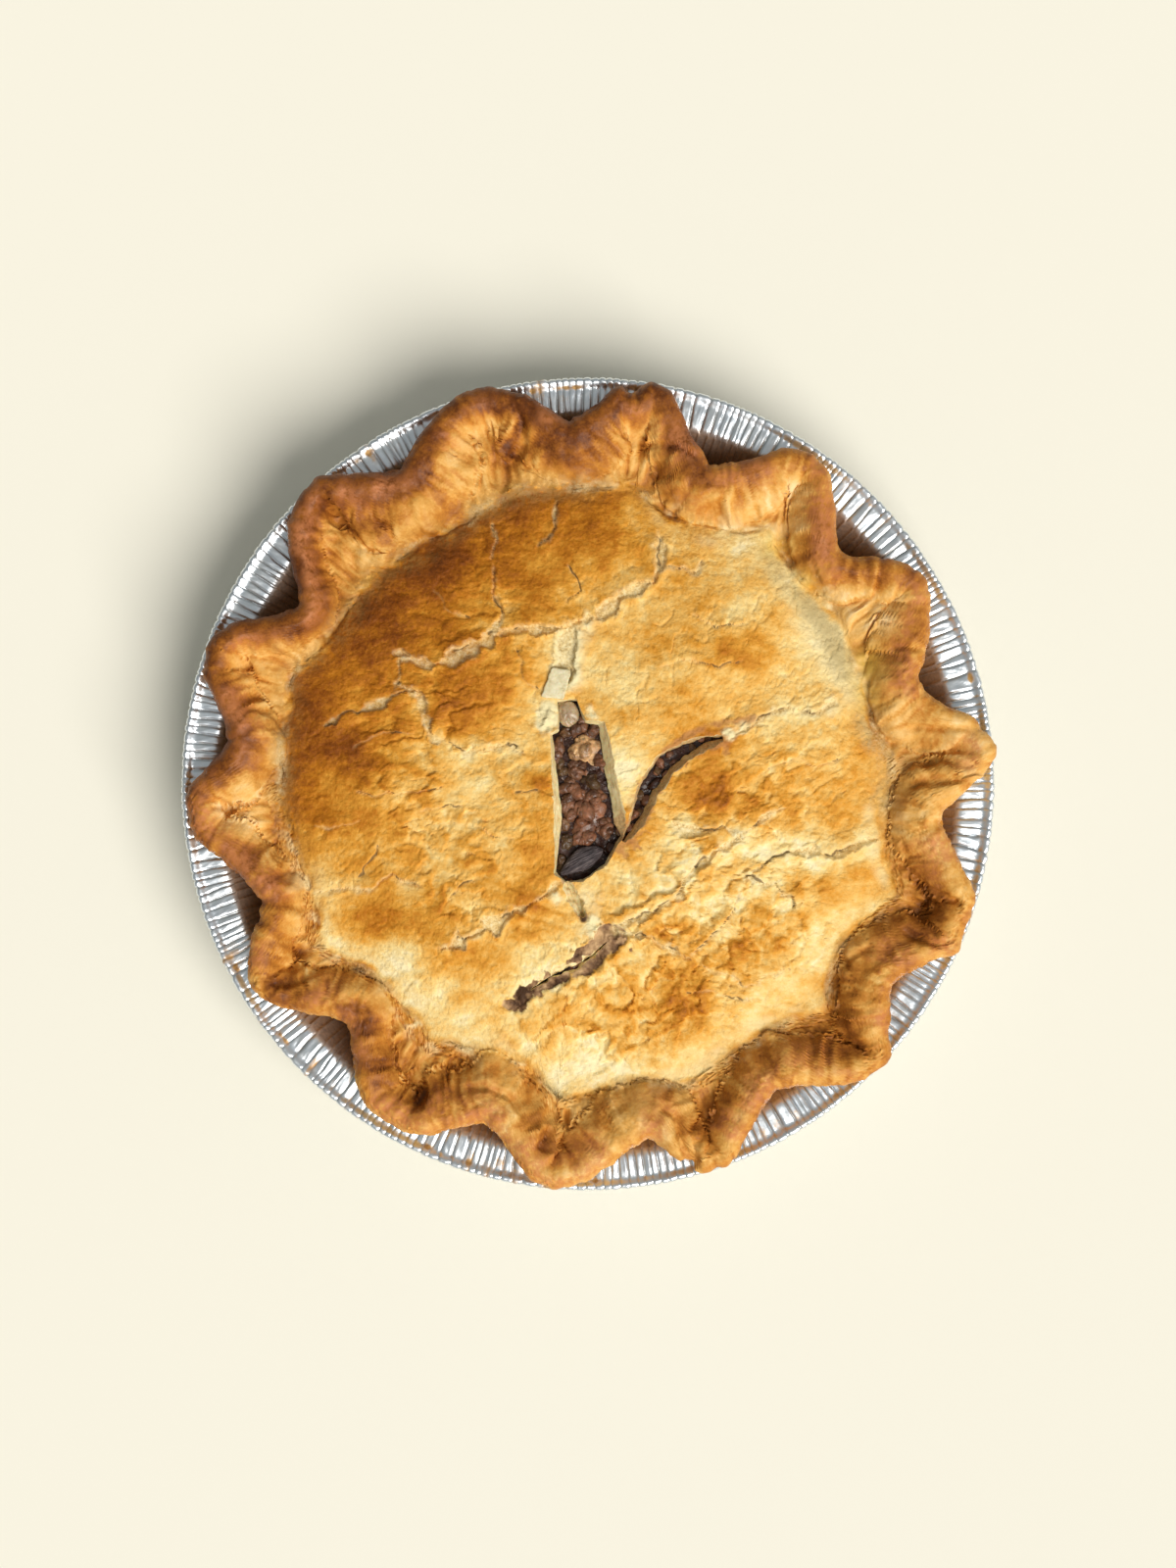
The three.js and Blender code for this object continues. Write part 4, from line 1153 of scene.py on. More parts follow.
def paleDough(x, y, at, crack, crevice):
    inside, onLid, upperLeft = at["inside"], at["onLid"], at["upperLeft"]
    crumbs = 1.2 * softSpots(x, y, doughCrumbs) * (0.8 + 0.9 * rough(x / 2.4, y / 1.9, 4, 67, 0.65))
    halo = (0.6 - 0.3 * upperLeft) * crack["around"] * (0.7 + 0.6 * rough(x / 3, y / 3, 2, 95))
    # painted shade: less pale dough in the crevices
    pale = onLid * clip01(halo + softSpots(x, y, paleSpots) + clip01(crumbs) - 0.5 * crevice)
    bySeam = onLid * falloff(inside - 3.4, 4.4) * (0.5 + 0.8 * rough(x / 9, y / 9, 2, 96))
    feet = at["onRim"] * falloff(inside + 1.5, 4.5) * smooth(0.3 + 1.8 * rough(x / 7, y / 5, 4, 90, 0.6))
    feet = feet * (0.75 - 0.35 * at["lowerRight"] - 0.4 * upperLeft)
    return np.maximum(pale, np.maximum((0.46 - 0.46 * upperLeft) * bySeam, feet))


def slitStain(x, y, z, slitAway):  # juice on the right slit's walls and along its upper lip
    onWall = smooth((lidHeight(x, y) - z - 0.1) / 0.5)
    uneven = 0.65 + 0.35 * onWall + 0.7 * rough(x / 4, y / 4, 3, 84)
    stain = smooth((4.4 + 2.5 * onWall - slitAway) / 2) * uneven
    lipAway, _, _ = lineDistance(x, y, stainedLip)
    lip = 1.3 * falloff(lipAway, 1.5) * (0.7 + 0.6 * rough(x / 3, y / 3, 3, 107))
    return np.maximum(stain, lip)


def paintCrust(piece):
    x, y, z = piecePoints(piece).T
    field = rimField(x, y)
    crack = crackField(x, y)
    lid = lidRelief(x, y)
    at = crustPlaces(x, y, z, field)
    inside, onLid, onRim = at["inside"], at["onLid"], at["onRim"]
    bake = mix(rimBake(x, y, field, at), lidBake(x, y, field, at, crack, lid), onLid)
    bake = np.where((z < 30) & (field["radius"] > 60), 0.40, bake)
    # painted shade: the rim is painted browner in the creases of its folds
    pressed = onRim * smooth(foldField(x, y) / 1.1)
    # painted shade: the crust darkened along the seam between lid and rim, more at the upper left
    dusk = (0.25 + 0.6 * at["upperLeft"]) * falloff(inside - 0.5, 4.0)
    gravy = soaked(x, y) * (1.1 - 0.3 * rough(x / 3, y / 3, 2, 98))
    tipAway, _, _ = lineDistance(x, y, slits[2][0])
    # a pinkish tint on the rim's tops: partly the crust's colour, partly painted sheen
    blush = at["upper"] * smooth(0.25 + 1.9 * rough(x / 10, y / 10, 3, 89)) * (0.4 + 0.6 * at["crestBand"])
    # painted shade: the inner rim slopes on the lower right, which face away from the light, are tinted
    # darker olive
    olive = smooth((field["away"] - 7) / 5) * smooth(0.6 + 1.2 * rough(x / 8, y / 8, 3, 105))
    west = smooth((-10 - x) / 14) * smooth((y + 12) / 18)
    paint(
        piece,
        bake=bake + 0.09 * pressed,
        pale=paleDough(x, y, at, crack, lid[2]),
        crackFloor=onLid * crack["floor"] * (1 - 0.25 * west),
        crackLine=onLid * crack["line"],
        gravy=np.maximum(gravy, 0.8 * falloff(tipAway, 2.2)),
        butter=softSpots(x, y, buttery) * (0.7 + 0.5 * rough(x / 4, y / 4, 2, 99)),
        blush=0.75 * onRim * blush,
        seam=0.5 + inside / 10,
        raw=onLid * softSpots(x, y, rawSpots) * falloff(inside - 3, 6),
        olive=onRim * at["lowerRight"] * olive,
        stain=slitStain(x, y, z, at["slitAway"]),
        dusk=dusk * smooth(0.7 + rough(x / 8, y / 8, 3, 106)),
    )


crustTones = {  # ramps run from raw to burnt, or over the grain of the dough
    "lid": ramped(
        (0.04, 246, 230, 182), (0.20, 242, 212, 142), (0.36, 234, 184, 98), (0.52, 218, 152, 54),
        (0.68, 188, 116, 26), (0.84, 138, 74, 16), (1.0, 82, 38, 11),
    ),
    "rim": ramped(
        (0.10, 240, 210, 156), (0.30, 230, 184, 112), (0.45, 217, 162, 82), (0.60, 193, 127, 50),
        (0.75, 154, 92, 33), (0.88, 108, 58, 22), (1.0, 68, 34, 15),
    ),
    "gravy": ramped((0.38, 70, 46, 28), (0.48, 136, 102, 72), (0.62, 204, 166, 120)),
    "creamy": ramped(
        (0.34, 150, 116, 74), (0.44, 212, 180, 118), (0.54, 234, 212, 158), (0.66, 244, 232, 194),
    ),
    "greyish": ramped(
        (0.36, 116, 96, 66), (0.45, 170, 146, 102), (0.54, 210, 188, 140), (0.66, 232, 216, 174),
    ),
    "cut": ramped(
        (0.28, 180, 142, 86), (0.42, 220, 192, 132), (0.56, 236, 216, 162), (0.72, 244, 232, 192),
    ),
    "cutStain": ramped((0.35, 150, 108, 60), (0.65, 214, 172, 112)),
    "rawDough": ramped((0.3, 178, 160, 116), (0.45, 214, 200, 156), (0.65, 234, 224, 190)),
    "olive": tone(160, 106, 46),
    # colour of the painted shade at the seam
    "dusk": tone(156, 114, 56),
    "stain": tone(176, 120, 72),
    "blush": tone(196, 124, 76),
    "paleOnLid": tone(238, 222, 172),
    "paleOnRim": tone(222, 182, 122),
    "raw": tone(188, 168, 118),
    "butter": tone(226, 190, 84),
    "line": tone(104, 80, 48),
    "gap": tone(112, 94, 62),
}


def crustMaterial():
    shade = Shade("pastry", Specular_IOR_Level=0.12, Coat_Roughness=0.3)
    tones = crustTones
    spot = shade.place()
    # browning, with painted shade and highlights in it
    bake = shade.mask("bake")
    fine = shade.noise(spot, 1.6, 5.0, 0.65)
    patch = shade.noise(spot, 7.0, 4.0, 0.6)
    speck = shade.noise(spot, 0.6, 2.0, 0.6)

    def frayed(name, share, low, high):  # a mask with an uneven edge
        return shade.fade(shade.mask(name) + (fine - 0.5) * share, low, high)

    level = bake + (fine - 0.5) * 0.28 + (patch - 0.5) * 0.28 + (speck - 0.5) * 0.14
    away = (shade.mask("seam") - 0.5) * 10  # millimetres in from the seam
    onRim = shade.fade(away + (patch - 0.5) * 4, 0.5, -2.5)
    colour = shade.blend(onRim, shade.ramp(level, tones["lid"]), shade.ramp(level, tones["rim"]))
    # the olive tint is painted shade on the lower right's inner rim slopes
    olive = shade.mask("olive") * shade.fade(patch, 0.35, 0.6) * 0.3
    colour = shade.blend(olive, colour, tones["olive"])
    # painted shade along the seam
    colour = shade.blend(shade.mask("dusk") * shade.fade(fine, 0.3, 0.55), colour, tones["dusk"])
    colour = shade.blend(frayed("stain", 0.6, 0.3, 1.0) * 0.75, colour, tones["stain"])
    # pinkish tint on the rim's tops, partly painted sheen
    colour = shade.blend(shade.mask("blush") * shade.fade(fine, 0.3, 0.6), colour, tones["blush"])
    paleTone = shade.blend(onRim, tones["paleOnLid"], tones["paleOnRim"])
    colour = shade.blend(frayed("pale", 0.35, 0.14, 0.9), colour, paleTone)
    colour = shade.blend(frayed("raw", 0.6, 0.1, 0.8) * 0.85, colour, tones["raw"])
    colour = shade.blend(shade.mask("butter"), colour, tones["butter"])
    colour = shade.blend(frayed("gravy", 0.6, 0.35, 0.75), colour, shade.ramp(patch, tones["gravy"]))

    grains = fine * 0.55 + speck * 0.45
    greyish = shade.ramp(grains, tones["greyish"])
    crumbly = shade.blend(shade.fade(patch, 0.5, 0.68), shade.ramp(grains, tones["creamy"]), greyish)
    colour = shade.blend(shade.clamped(shade.mask("crackFloor") * (1.3 - patch)), colour, crumbly)
    colour = shade.blend(frayed("crackLine", 0.6, 0.45, 0.9) * 0.8, colour, tones["line"])

    wander = (shade.noise(spot, 8.0, 2.0, 0.5) - 0.5) * 3.5 + (fine - 0.5) * 1.2
    fromSeam = shade.maths("ABSOLUTE", away + wander)
    bySeam = shade.fade(shade.maths("ABSOLUTE", away), 4.5, 2.5)
    broken = shade.fade(shade.noise(spot, 9.0, 3.0, 0.55), 0.46, 0.66)
    crumbled = shade.fade(shade.noise(spot, 13.0, 2.0, 0.5), 0.4, 0.62)
    colour = shade.blend(shade.fade(fromSeam, 2.2, 0.6) * crumbled * bySeam * 0.45, colour, greyish)
    gap = shade.fade(fromSeam + speck * 0.5, 0.95, 0.2) * broken * bySeam
    colour = shade.blend(gap * 0.35, colour, tones["gap"])

    grain = shade.noise(spot, 1.0, 4.0, 0.7)
    pores = shade.cell(spot, 1.4)
    skin = shade.noise(spot, 3.2, 5.0, 0.62)
    baked = shade.fade(away, -0.5, 1.5, 0.45, 1.0)  # the rim is smoother than the lid
    height = (grain * 0.5 + pores * 0.2 + skin * 0.65) * baked - gap * 0.5
    shade.feed(
        Base_Color=colour,
        Roughness=0.52 - 0.14 * bake + (fine - 0.5) * 0.2 - 0.15 * shade.mask("gravy"),
        Coat_Weight=shade.clamped(0.11 * bake - 0.04 + 0.3 * shade.mask("butter")),
        Normal=shade.bump(height, 0.85),
    )
    return shade.material


def cutFaceMaterial():
    shade = Shade("cutPastry", Subsurface_Weight=0.15, Subsurface_Scale=0.003, Roughness=0.6)
    spot = shade.place()
    layers = shade.noise(shade.stretched(spot, (1, 1, 5)), 3.0, 4.0, 0.6)
    fine = shade.noise(spot, 0.9, 4.0, 0.65)
    colour = shade.ramp(layers * 0.7 + fine * 0.3, crustTones["cut"])
    stain = shade.fade(shade.mask("stain") + (fine - 0.5) * 0.5, 0.2, 0.9)
    colour = shade.blend(stain * 0.8, colour, shade.ramp(fine, crustTones["cutStain"]))
    shade.feed(Base_Color=colour, Normal=shade.bump(fine * 0.5 + layers * 0.5, 0.5, 0.8))
    return shade.material


def rawDoughMaterial():
    shade = Shade("rawDough", Roughness=0.62, Subsurface_Weight=0.1, Subsurface_Scale=0.002)
    spot = shade.place()
    patch = shade.noise(spot, 2.6, 4.0, 0.6)
    fine = shade.noise(spot, 0.7, 4.0, 0.65)
    colour = shade.ramp(patch * 0.6 + fine * 0.4, crustTones["rawDough"])
    shade.feed(Base_Color=colour, Normal=shade.bump(fine * 0.6 + patch * 0.4, 0.35, 0.7))
    return shade.material


def makeCrust():
    pastry = crustMaterial()
    cutFace = cutFaceMaterial()
    points, faces, topCount = crustSkin()
    normals = pointNormals(points, faces)
    radius = np.hypot(points[:, 0], points[:, 1])
    seen = (points[:, 2] > 30.5) | (np.arange(len(points)) < topCount)
    move = np.zeros(len(points))
    field = rimField(points[seen, 0], points[seen, 1])
    move[seen] = reliefAt(points[seen, 0], points[seen, 1], field)
    onLid = radius < 78
    normals[onLid & seen] = (0, 0, 1)
    points = points + normals * move[:, None]
    crust = makePiece("bakedCrust", points, faces, pastry)
    print("crust skin", len(points), "points")
    inside, insideFaces = fillingMass(fillingForm["gap"])
    cutters = [makePiece("hollow", inside, insideFaces, cutFace), ventCutter(cutFace)]
    for k, (path, width, fray, deep) in enumerate(slits):
        cutters.append(slitCutter(path, width, fray, deep, 83 + k, cutFace))
    cutAway(crust, cutters, [makeFlap(rawDoughMaterial())])
    paintCrust(crust)
    crust.data.set_sharp_from_angle(angle=math.radians(62))
    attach(crust, "root")
    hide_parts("crust")
    print("crust cut and painted", len(crust.data.polygons), "faces")
    return crust


tinForm = {
    "foil": 0.22,
    "pleats": 292,
    "pleatDepth": 0.42,
    "segments": 2920,
    "wall": (90, 111),  # the radii between which the wall slopes
    "groove": 119.0,  # juice dried in the groove beside the bead
    "bead": 119.2,  # the rolled bead starts at this radius
    "beadInside": (119.4, 28.1, 0.35, 0.6),
    "underRows": 22,  # how many of the upper rows the underside follows
    "seenRows": 30,  # how many of them can be seen from above
    # radius, height, how much of the pleats and how much of the small dents it takes
    "upper": [
        (20, 0.3, 0, 0), (60, 0.3, 0, 0), (84, 0.3, 0, 0.1), (88.2, 0.4, 0.3, 0.2), (90.0, 1.2, 0.6, 0.3),
        (93.4, 5.6, 0.8, 0.3), (97.2, 10.6, 0.9, 0.3), (101.1, 15.6, 0.9, 0.3), (104.9, 20.6, 1, 0.3),
        (107.2, 23.6, 1, 0.4), (109.0, 26.0, 1, 0.4), (110.3, 27.6, 1, 0.4), (111.0, 28.4, 1, 0.5),
        (111.8, 28.75, 1, 0.6), (112.8, 28.85, 1, 0.7), (113.9, 28.9, 1, 0.8), (115.0, 28.9, 1, 0.9),
        (116.1, 28.95, 1, 1), (117.1, 28.95, 0.9, 1), (117.9, 28.9, 0.8, 1), (118.5, 28.88, 0.5, 1),
        (119.0, 28.98, 0.45, 1), (119.5, 29.2, 0.5, 1), (119.9, 29.42, 0.55, 1), (120.4, 29.68, 0.6, 1),
        (120.9, 29.8, 0.6, 1), (121.4, 29.65, 0.5, 1), (121.8, 29.2, 0.4, 0.9), (121.95, 28.6, 0.3, 0.8),
        (121.8, 28.0, 0.3, 0.7), (121.3, 27.6, 0.3, 0.6), (120.7, 27.55, 0.2, 0.5), (120.2, 27.8, 0.2, 0.4),
    ],
}


def tinRows():
    thick = tinForm["foil"]
    first, last = tinForm["wall"]
    lower = []
    for radius, height, pleatShare, dentShare in tinForm["upper"][:tinForm["underRows"]][::-1]:
        onWall = first < radius < last
        down = 0.6 * thick if onWall else thick
        out = 0.8 * thick if onWall else 0
        lower.append((radius + out, max(0.0, height - down), pleatShare, dentShare * 0.8))
    return tinForm["upper"] + [tinForm["beadInside"]] + lower


def tinRing(radius, height, pleatShare, dentShare, count):  # one ring of the foil, and its sharp folds
    form = tinForm
    degrees = ringDegrees(count)
    theta = np.radians(degrees)
    cx, cy = np.cos(theta), np.sin(theta)
    wander = 1.2 * bumps(cx * 9, cy * 9, 11) + 0.22 * bumps(cx * 40 + radius / 9, cy * 40, 12)
    phase = degrees * form["pleats"] / 360 + wander
    panel = np.floor(phase)
    part = phase - panel
    panel = (panel % form["pleats"]).astype(np.int64)
    lean = 2 * latticeValue(panel, panel * 0, 13) - 1
    step = latticeValue(panel, panel * 0, 14) - 0.5
    fold = falloff(np.minimum(part, 1 - part), 0.12) * (0.75 + 0.25 * latticeValue(panel, panel * 0, 15))
    pleat = 1.2 * lean * (part - 0.5) + 0.5 * step - 1.3 * fold
    small = rough(cx * 90, cy * 90 + radius / 3, 3, 14)
    crumple = rough(radius * cx / 6, radius * cy / 6, 3, 15)
    move = form["pleatDepth"] * pleatShare * pleat + 0.12 * dentShare * small + 0.25 * dentShare * crumple
    if form["wall"][0] < radius < form["wall"][1]:  # the wall's folds move it in and out
        r, h = radius + 0.7 * move, height - 0.5 * move
    elif height < 1.3:  # the foot stays flat
        r, h = radius + 0.4 * move, height + 0 * move
    elif radius > form["bead"]:
        r, h = radius - 0.3 * fold + 0.2 * small, height + 0.6 * move - 0.15 * fold
    else:
        r, h = radius + 0 * move, height + move
    return np.stack([r * cx, r * cy, h], 1), fold * (pleatShare if radius < form["bead"] else 0.5)


stains = [  # where baked juice ran over the flange: x, y, radius, strength
    (-62, 99, 12, 0.8), (-10, 118, 12, 0.5), (114, 30, 22, 0.4), (112, -36, 20, 0.6), (60, -100, 16, 0.5),
    (-10, -116, 18, 0.8), (-40, -110, 20, 0.8), (-80, -84, 22, 0.7), (-104, -56, 20, 0.6), (86, 80, 18, 0.4),
]


def paintTin(tin, points, folded, outerSide):
    x, y, _ = points.T
    radius = np.hypot(x, y)
    cx, cy = x / np.maximum(radius, 1), y / np.maximum(radius, 1)
    groove = falloff(radius - tinForm["groove"], 0.8)
    spread = softSpots(x, y, stains) + 0.3 * bumps(cx * 9, cy * 9, 16)
    run = smooth((radius - 112) / 5) * clip01(spread + 0.6 * bumps(cx * 60, cy * 60 + radius / 8, 17) - 0.35)
    residue = groove * clip01(-0.55 + spread + 1.2 * rough(cx * 30, cy * 30, 3, 18)) + 0.8 * run
    # where the steep wall is painted brown: partly juice stain, partly painted shade and reflected crust
    wall = smooth((112.2 - radius) / 2) * smooth((radius - 90) / 3)
    seen = ~outerSide
    paint(tin, residue=residue * seen, wall=wall * seen, fold=folded * seen)


def makeTin():
    form = tinForm
    full = form["segments"]
    counts, rings, folded = [], [], []
    for k, row in enumerate(tinRows()):
        radius = row[0]
        underFlange = k > len(form["upper"]) and radius > 111.5
        count = full // 4 if radius < 87 else full // 2 if radius < 100 or underFlange else full
        ring, fold = tinRing(*row, count)
        counts.append(count)
        rings.append(ring)
        folded.append(fold)
    faces = skinFaces(counts)
    points = skinPoints((0, 0, 0.3), rings, (0, 0, 0.0))
    tin = makePiece("pleatedTin", points, faces[:, ::-1], foilMaterial())
    outerSide = np.arange(len(points)) > 1 + sum(counts[:form["seenRows"]])
    paintTin(tin, points, np.concatenate([[0], *folded, [0]]), outerSide)
    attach(tin, "root")
    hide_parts("foil_tin")
    print("tin", len(faces), "faces")


def foilMaterial():
    shade = Shade("pressedFoil")
    spot = shade.place()
    scratch = shade.noise(spot, 5.0, 4.0, 0.6)
    fine = shade.noise(spot, 1.1, 3.0, 0.6)
    fold = shade.mask("fold")
    wall = shade.mask("wall")
    juice = shade.fade(shade.mask("residue") + (fine - 0.5) * 0.5 + fold * 0.15, 0.3, 0.9)
    # the metal's colour: aluminium with a painted blue tint of reflected surroundings
    metal = shade.ramp(scratch, [(0.3, (0.74, 0.81, 0.88)), (0.7, (0.92, 0.95, 0.97))])
    # painted shade: the foil darkened with a brownish grey along its pleat folds
    metal = shade.blend(fold * shade.fade(scratch, 0.35, 0.6, 0.35, 0.8), metal, tone(88, 78, 58))
    colour = shade.blend(juice, metal, shade.ramp(fine, ramped((0.3, 128, 90, 50), (0.7, 196, 152, 88))))
    # the wall's brown: partly juice stain, partly painted shade and reflection of the crust
    wallShadeAndStain = shade.ramp(fine, ramped((0.3, 116, 84, 58), (0.7, 170, 132, 98)))
    colour = shade.blend(wall * 0.85, colour, wallShadeAndStain)
    dull = shade.clamped(juice + wall * 0.7)
    shade.feed(
        Base_Color=colour,
        Metallic=1 - 0.75 * dull,
        Roughness=0.26 + 0.12 * scratch + 0.2 * dull,
        Normal=shade.bump(scratch * 0.5 + fine * 0.5, 0.15, 0.6),
    )
    return shade.material


fillingForm = {
    "gap": 0.35,
    "sides": ((92, 25), (96, 19)),  # radius and height
    "foot": 4.9,
    "footRadius": 87,
    "lumpTones": {
        "tan": (198, 158, 112), "red": (126, 86, 62), "mince": (108, 74, 52), "olive": (86, 64, 38),
        "clear": (132, 100, 70), "dark": (48, 25, 15),
    },
    # chunks that show in the vent: x, y, half sizes, turn, kind, how many lumps of mince they are made of
    "chunks": [
        (-0.9, 10.2, 5.0, 3.8, 2.3, 0.2, "tan", 9), (0.8, 1.0, 2.7, 3.0, 2.1, 0.2, "olive", 0),
        (-7.6, 4.0, 1.9, 2.7, 1.9, 0.1, "olive", 1), (1.0, -7.6, 4.4, 4.6, 2.3, 0.2, "red", 12),
        (-1.2, -13.6, 3.9, 3.6, 2.1, 0.5, "red", 8), (4.8, -13.4, 2.6, 3.2, 2.0, 0.2, "mince", 4),
        (-6.0, -17.2, 2.3, 3.0, 2.0, 0.0, "olive", 0), (-8.7, 10.6, 2.0, 4.2, 1.9, 0.0, "mince", 5),
        (-6.2, 15.4, 2.5, 1.9, 2.0, 0.3, "clear", 0), (-2.4, 16.8, 2.6, 2.8, 1.9, 0.0, "mince", 4),
        (1.4, 15.6, 2.0, 2.4, 1.8, 0.2, "mince", 3), (-3.6, 4.4, 2.8, 2.0, 1.8, 0.0, "mince", 4),
        (-5.0, -1.0, 2.6, 2.4, 1.8, 0.0, "mince", 4), (4.2, 6.0, 1.5, 2.8, 1.7, 0.2, "red", 2),
        (-5.4, -7.0, 2.5, 3.4, 1.9, 0.0, "mince", 5), (-7.0, -12.0, 1.7, 2.6, 1.7, 0.0, "clear", 0),
        (7.8, -13.8, 1.5, 1.9, 1.5, 0.0, "dark", 0), (-8.0, -22.8, 1.8, 2.6, 1.7, 0.0, "olive", 1),
        (6.4, -18.8, 2.2, 2.6, 1.7, 0.0, "dark", 2), (-2.2, -3.0, 2.2, 1.8, 1.7, 0.0, "red", 3),
        (3.4, -3.4, 2.2, 2.0, 1.7, 0.4, "mince", 2),
    ],
    "crumbs": 84,
    "crumbKinds": ["mince", "mince", "red", "olive", "dark", "dark"],
    "crumbPlaces": [0.4, 0.33, 0.19, 0.08],  # shares of them in the vent and in each slit
    "seed": 7,
}


def blob(at, size, turn, rings=26, segments=40, seed=1, lumpy=0.34):
    up = np.linspace(0, np.pi, rings + 2)[1:-1]
    round_ = np.arange(segments) * 2 * np.pi / segments
    a, b = np.meshgrid(up, round_, indexing="ij")
    unit = np.stack([np.sin(a) * np.cos(b), np.sin(a) * np.sin(b), np.cos(a)], -1).reshape(-1, 3)
    unit = np.concatenate([[(0, 0, 1)], unit, [(0, 0, -1)]])
    px, py = unit[:, 0] + unit[:, 2] * 0.7, unit[:, 1] - unit[:, 2] * 0.6
    big = rough(px * 1.1 + seed * 3.1, py * 1.1, 2, seed)
    knots = 1 - 2 * np.abs(rough(px * size[0] / 1.7, py * size[1] / 1.7 + seed * 5.3, 3, seed + 5))
    reach = 1 + lumpy * big + 0.22 * min(1, 1.6 / max(size)) * knots
    points = unit * reach[:, None] * np.asarray(size)
    c, s = math.cos(turn), math.sin(turn)
    points = points @ np.array([[c, s, 0], [-s, c, 0], [0, 0, 1]])
    return points + np.asarray(at), skinFaces([segments] * rings)


def insideOutline(x, y, outline):
    inside = np.zeros(np.shape(x), bool)
    count = len(outline)
    for k in range(count):
        (ax, ay), (bx, by) = outline[k], outline[(k + 1) % count]
        crosses = ((ay > y) != (by > y)) & (x < (bx - ax) * (y - ay) / (by - ay + 1e-12) + ax)
        inside ^= crosses
    return inside


def fillingTop(x, y):
    lid = lidHeight(np.asarray([x], float), np.asarray([y], float))[0]
    return lid - crustForm["thickness"] - fillingForm["gap"]


def fillingLumps(rng):  # rows of x, y, sink, half sizes, turn, kind and fineness
    form = fillingForm
    rows = []
    for px, py, rx, ry, rz, turn, kind, lumps in form["chunks"]:
        rows.append((px, py, 0.5, rx * 0.92, ry * 0.92, rz * 0.9, turn, kind, 30))
        c, d = math.cos(turn), math.sin(turn)
        for _ in range(lumps):
            way = rng.normal(size=3)
            way /= np.linalg.norm(way)
            half = rng.uniform(0.9, 1.9)
            ax, ay = np.array([rx, ry]) * way[:2] * 0.86
            place = (px + ax * c - ay * d, py + ax * d + ay * c, 0.5 - abs(way[2]) * rz * 0.75)
            sizes = (half * rng.uniform(0.8, 1.5), half, half * 0.9)
            rows.append((*place, *sizes, rng.uniform(0, 3), kind, 16))
    lanes = [(ventFloor, None)] + [(None, slit) for slit in slits]
    whole = len(rows) + form["crumbs"]
    while len(rows) < whole:
        lane, slit = lanes[int(rng.choice(4, p=form["crumbPlaces"]))]
        if lane:
            px, py = rng.uniform(-11, 10), rng.uniform(-29, 25)
            if not insideOutline(px, py, lane):
                continue
        else:
            path, width = np.asarray(slit[0]), slit[1]
            k = int(rng.integers(len(path) - 1))
            place = path[k] + (path[k + 1] - path[k]) * rng.uniform()
            px, py = place + rng.uniform(-0.5, 0.5, 2) * width * 0.7
        half = rng.uniform(0.6, 1.6)
        sizes = (half * rng.uniform(0.8, 1.6), half, half * 0.7)
        sink = rng.uniform(0.2, 1.0) if lane else rng.uniform(-1.0, 0.1)
        turn = rng.uniform(0, 3)
        rows.append((px, py, sink, *sizes, turn, str(rng.choice(form["crumbKinds"])), 13))
    return rows


def makeFilling():
    form = fillingForm
    rng = np.random.default_rng(form["seed"])
    core, coreFaces = fillingMass(0.0)
    x, y, z = core.T
    top = z > 30
    uneven = 0.8 * rough(x / 2.6, y / 2.6, 4, 101, 0.6) - 0.6
    core[top, 2] += uneven[top]
    dark = np.asarray(tone(*form["lumpTones"]["dark"]))
    points, faces = [core], [coreFaces]
    tones = [dark * (1.1 + 0.9 * rough(x / 1.6, y / 1.6, 3, 103))[:, None]]
    total = len(core)
    for k, (px, py, sink, rx, ry, rz, turn, kind, rings) in enumerate(fillingLumps(rng)):
        at = (px, py, fillingTop(px, py) - 0.9 - sink)
        part, partFaces = blob(at, (rx, ry, rz), turn, rings, int(rings * 1.6), k + 1)
        base = np.asarray(tone(*form["lumpTones"][kind]))
        spots = rough(part[:, 0] / 1.2, part[:, 1] / 1.2, 3, 102 + k % 9)[:, None]
        tones.append(np.clip(base * (1 + 0.5 * spots) * rng.uniform(0.7, 1.25), 0, 1))
        points.append(part)
        faces.append(partFaces + total)
        total += len(part)
    filling = makePiece("minceAndGravy", np.concatenate(points), np.concatenate(faces), fillingMaterial())
    layer = filling.data.attributes.new("tone", "FLOAT_COLOR", "POINT")
    rgb = np.concatenate(tones)
    layer.data.foreach_set("color", np.column_stack([rgb, np.ones(len(rgb))]).astype(np.float32).ravel())
    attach(filling, "root")
    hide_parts("meat_filling")
    print("filling", sum(map(len, faces)), "faces")


def fillingMaterial():
    shade = Shade(
        "gravyMince", Subsurface_Weight=0.1, Subsurface_Scale=0.002, Coat_Roughness=0.1,
        Specular_IOR_Level=0.25,
    )
    spot = shade.place()
    base = shade.node("ShaderNodeAttribute", {"attribute_name": "tone"}, output="Color")
    grain = shade.noise(spot, 0.9, 4.0, 0.6)
    pool = shade.fade(shade.noise(spot, 3.0, 3.0, 0.55), 0.45, 0.62)
    colour = shade.blend(pool * 0.5, base, tone(52, 26, 14))
    colour = shade.blend(shade.fade(grain, 0.35, 0.7) * 0.4, colour, tone(200, 160, 130), "OVERLAY")
    spread = shade.fade(shade.noise(spot, 4.0, 2.0, 0.5), 0.4, 0.6)
    glint = shade.fade(shade.noise(spot, 0.8, 2.0, 0.5), 0.64, 0.74) * spread
    colour = shade.blend(glint * 0.55, colour, tone(208, 176, 156))
    shade.feed(
        Base_Color=colour,
        Roughness=0.4 - 0.2 * pool,
        Coat_Weight=0.15 + 0.3 * pool,
        Normal=shade.bump(grain, 0.5, 0.8),
    )
    return shade.material


mushroomForm = {
    "at": (-1.9, -22.6, 40.4),
    "length": 14.4,
    "width": 7.2,
    "height": 3.0,
    "turn": 0.54,
    "gills": 11,
}


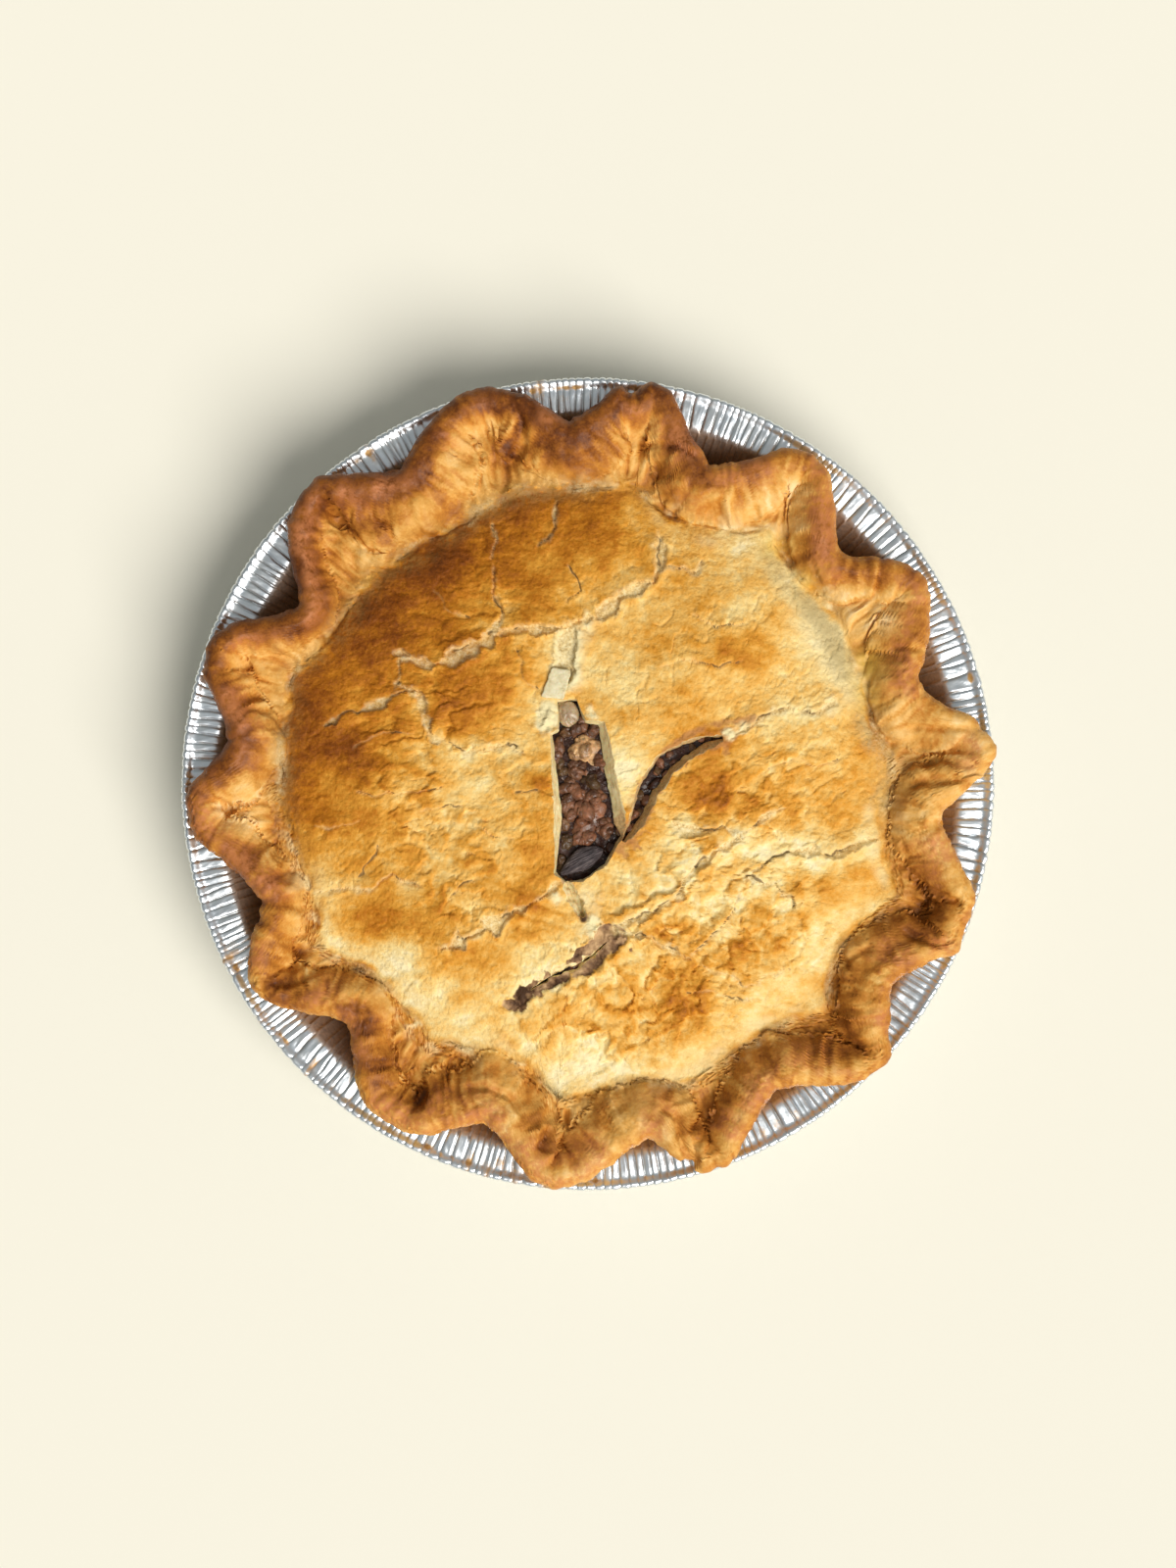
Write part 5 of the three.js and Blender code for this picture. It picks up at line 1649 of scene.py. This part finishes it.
def makeMushroom():
    form = mushroomForm
    rings, segments = 90, 120
    up = np.linspace(0, 1, rings + 2)[1:-1]
    round_ = np.arange(segments) * 2 * np.pi / segments
    points = []
    for t in up:
        wide = np.sin(np.pi * t ** 0.8) ** 0.55 * (0.5 + 0.5 * smooth(t * 1.5))
        across = np.cos(round_) * wide
        lift = np.sin(round_) * wide ** 0.6
        wander = 1.2 * bumps(round_ * 0 + t * 3, across * 2, 5)
        grooves = np.abs(np.sin(np.pi * form["gills"] * 0.5 * (across + 0.25 * t) + wander))
        shell = 1 + (lift > 0) * (0.16 * grooves - 0.1)
        bend = 0.9 * math.sin(math.pi * t)
        px = (t - 0.5) * form["length"] + 0.3 * bumps(across * 2, t * 4 + across * 0, 6)
        py = across * form["width"] / 2 + 0.5 * bend - 0.3
        pz = lift * shell * form["height"] / 2 + 0.3 * bend * (1 - across ** 2)
        points.append(np.stack([px, py, pz], 1))
    ends = [(-form["length"] / 2, -0.3, 0), (form["length"] / 2, -0.3, 0)]
    flat = skinPoints(ends[0], points, ends[1])
    c, s = math.cos(form["turn"]), math.sin(form["turn"])
    flat = flat @ np.array([[c, s, 0], [-s, c, 0], [0, 0, 1]]) + np.asarray(form["at"])
    piece = makePiece("mushroom", flat, skinFaces([segments] * rings), mushroomMaterial())
    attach(piece, "root")
    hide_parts("mushroom_slice")
    print("mushroom made")


def mushroomMaterial():
    shade = Shade("wetMushroom", Specular_IOR_Level=0.2, Coat_Weight=0.08, Coat_Roughness=0.2)
    spot = shade.place()
    strands = shade.noise(shade.stretched(spot, (0.14, 1.6, 1.6), -mushroomForm["turn"]), 1.0, 4.0, 0.6)
    patch = shade.noise(spot, 3.0, 3.0, 0.5)
    tones = ramped((0.32, 34, 27, 27), (0.46, 62, 53, 54), (0.56, 92, 82, 82), (0.7, 138, 124, 116))
    colour = shade.ramp(strands * 0.65 + patch * 0.35, tones)
    shade.feed(Base_Color=colour, Roughness=0.4 + 0.15 * patch, Normal=shade.bump(strands, 0.7))
    return shade.material


onionForm = {"at": (-5.9, 20.8, 41.1), "size": (2.9, 3.9, 1.6), "turn": 0.2}


def makeOnion():
    form = onionForm
    points, faces = blob(form["at"], form["size"], form["turn"], 40, 60, 77, 0.14)
    piece = makePiece("onion", points, faces, onionMaterial())
    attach(piece, "root")
    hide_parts("onion_piece")
    print("onion made")


def onionMaterial():
    shade = Shade(
        "softOnion", Subsurface_Weight=0.4, Subsurface_Scale=0.002, Coat_Weight=0.3, Coat_Roughness=0.15,
    )
    spot = shade.place()
    cloud = shade.noise(spot, 2.4, 4.0, 0.6)
    fine = shade.noise(spot, 0.8, 3.0, 0.6)
    colour = shade.ramp(cloud, ramped((0.3, 138, 112, 82), (0.5, 170, 146, 112), (0.75, 196, 174, 138)))
    shade.feed(Base_Color=colour, Roughness=0.35 + 0.1 * fine, Normal=shade.bump(fine, 0.3, 0.6))
    return shade.material


setStudio()
makeTin()
makeCrust()
makeFilling()
makeMushroom()
makeOnion()
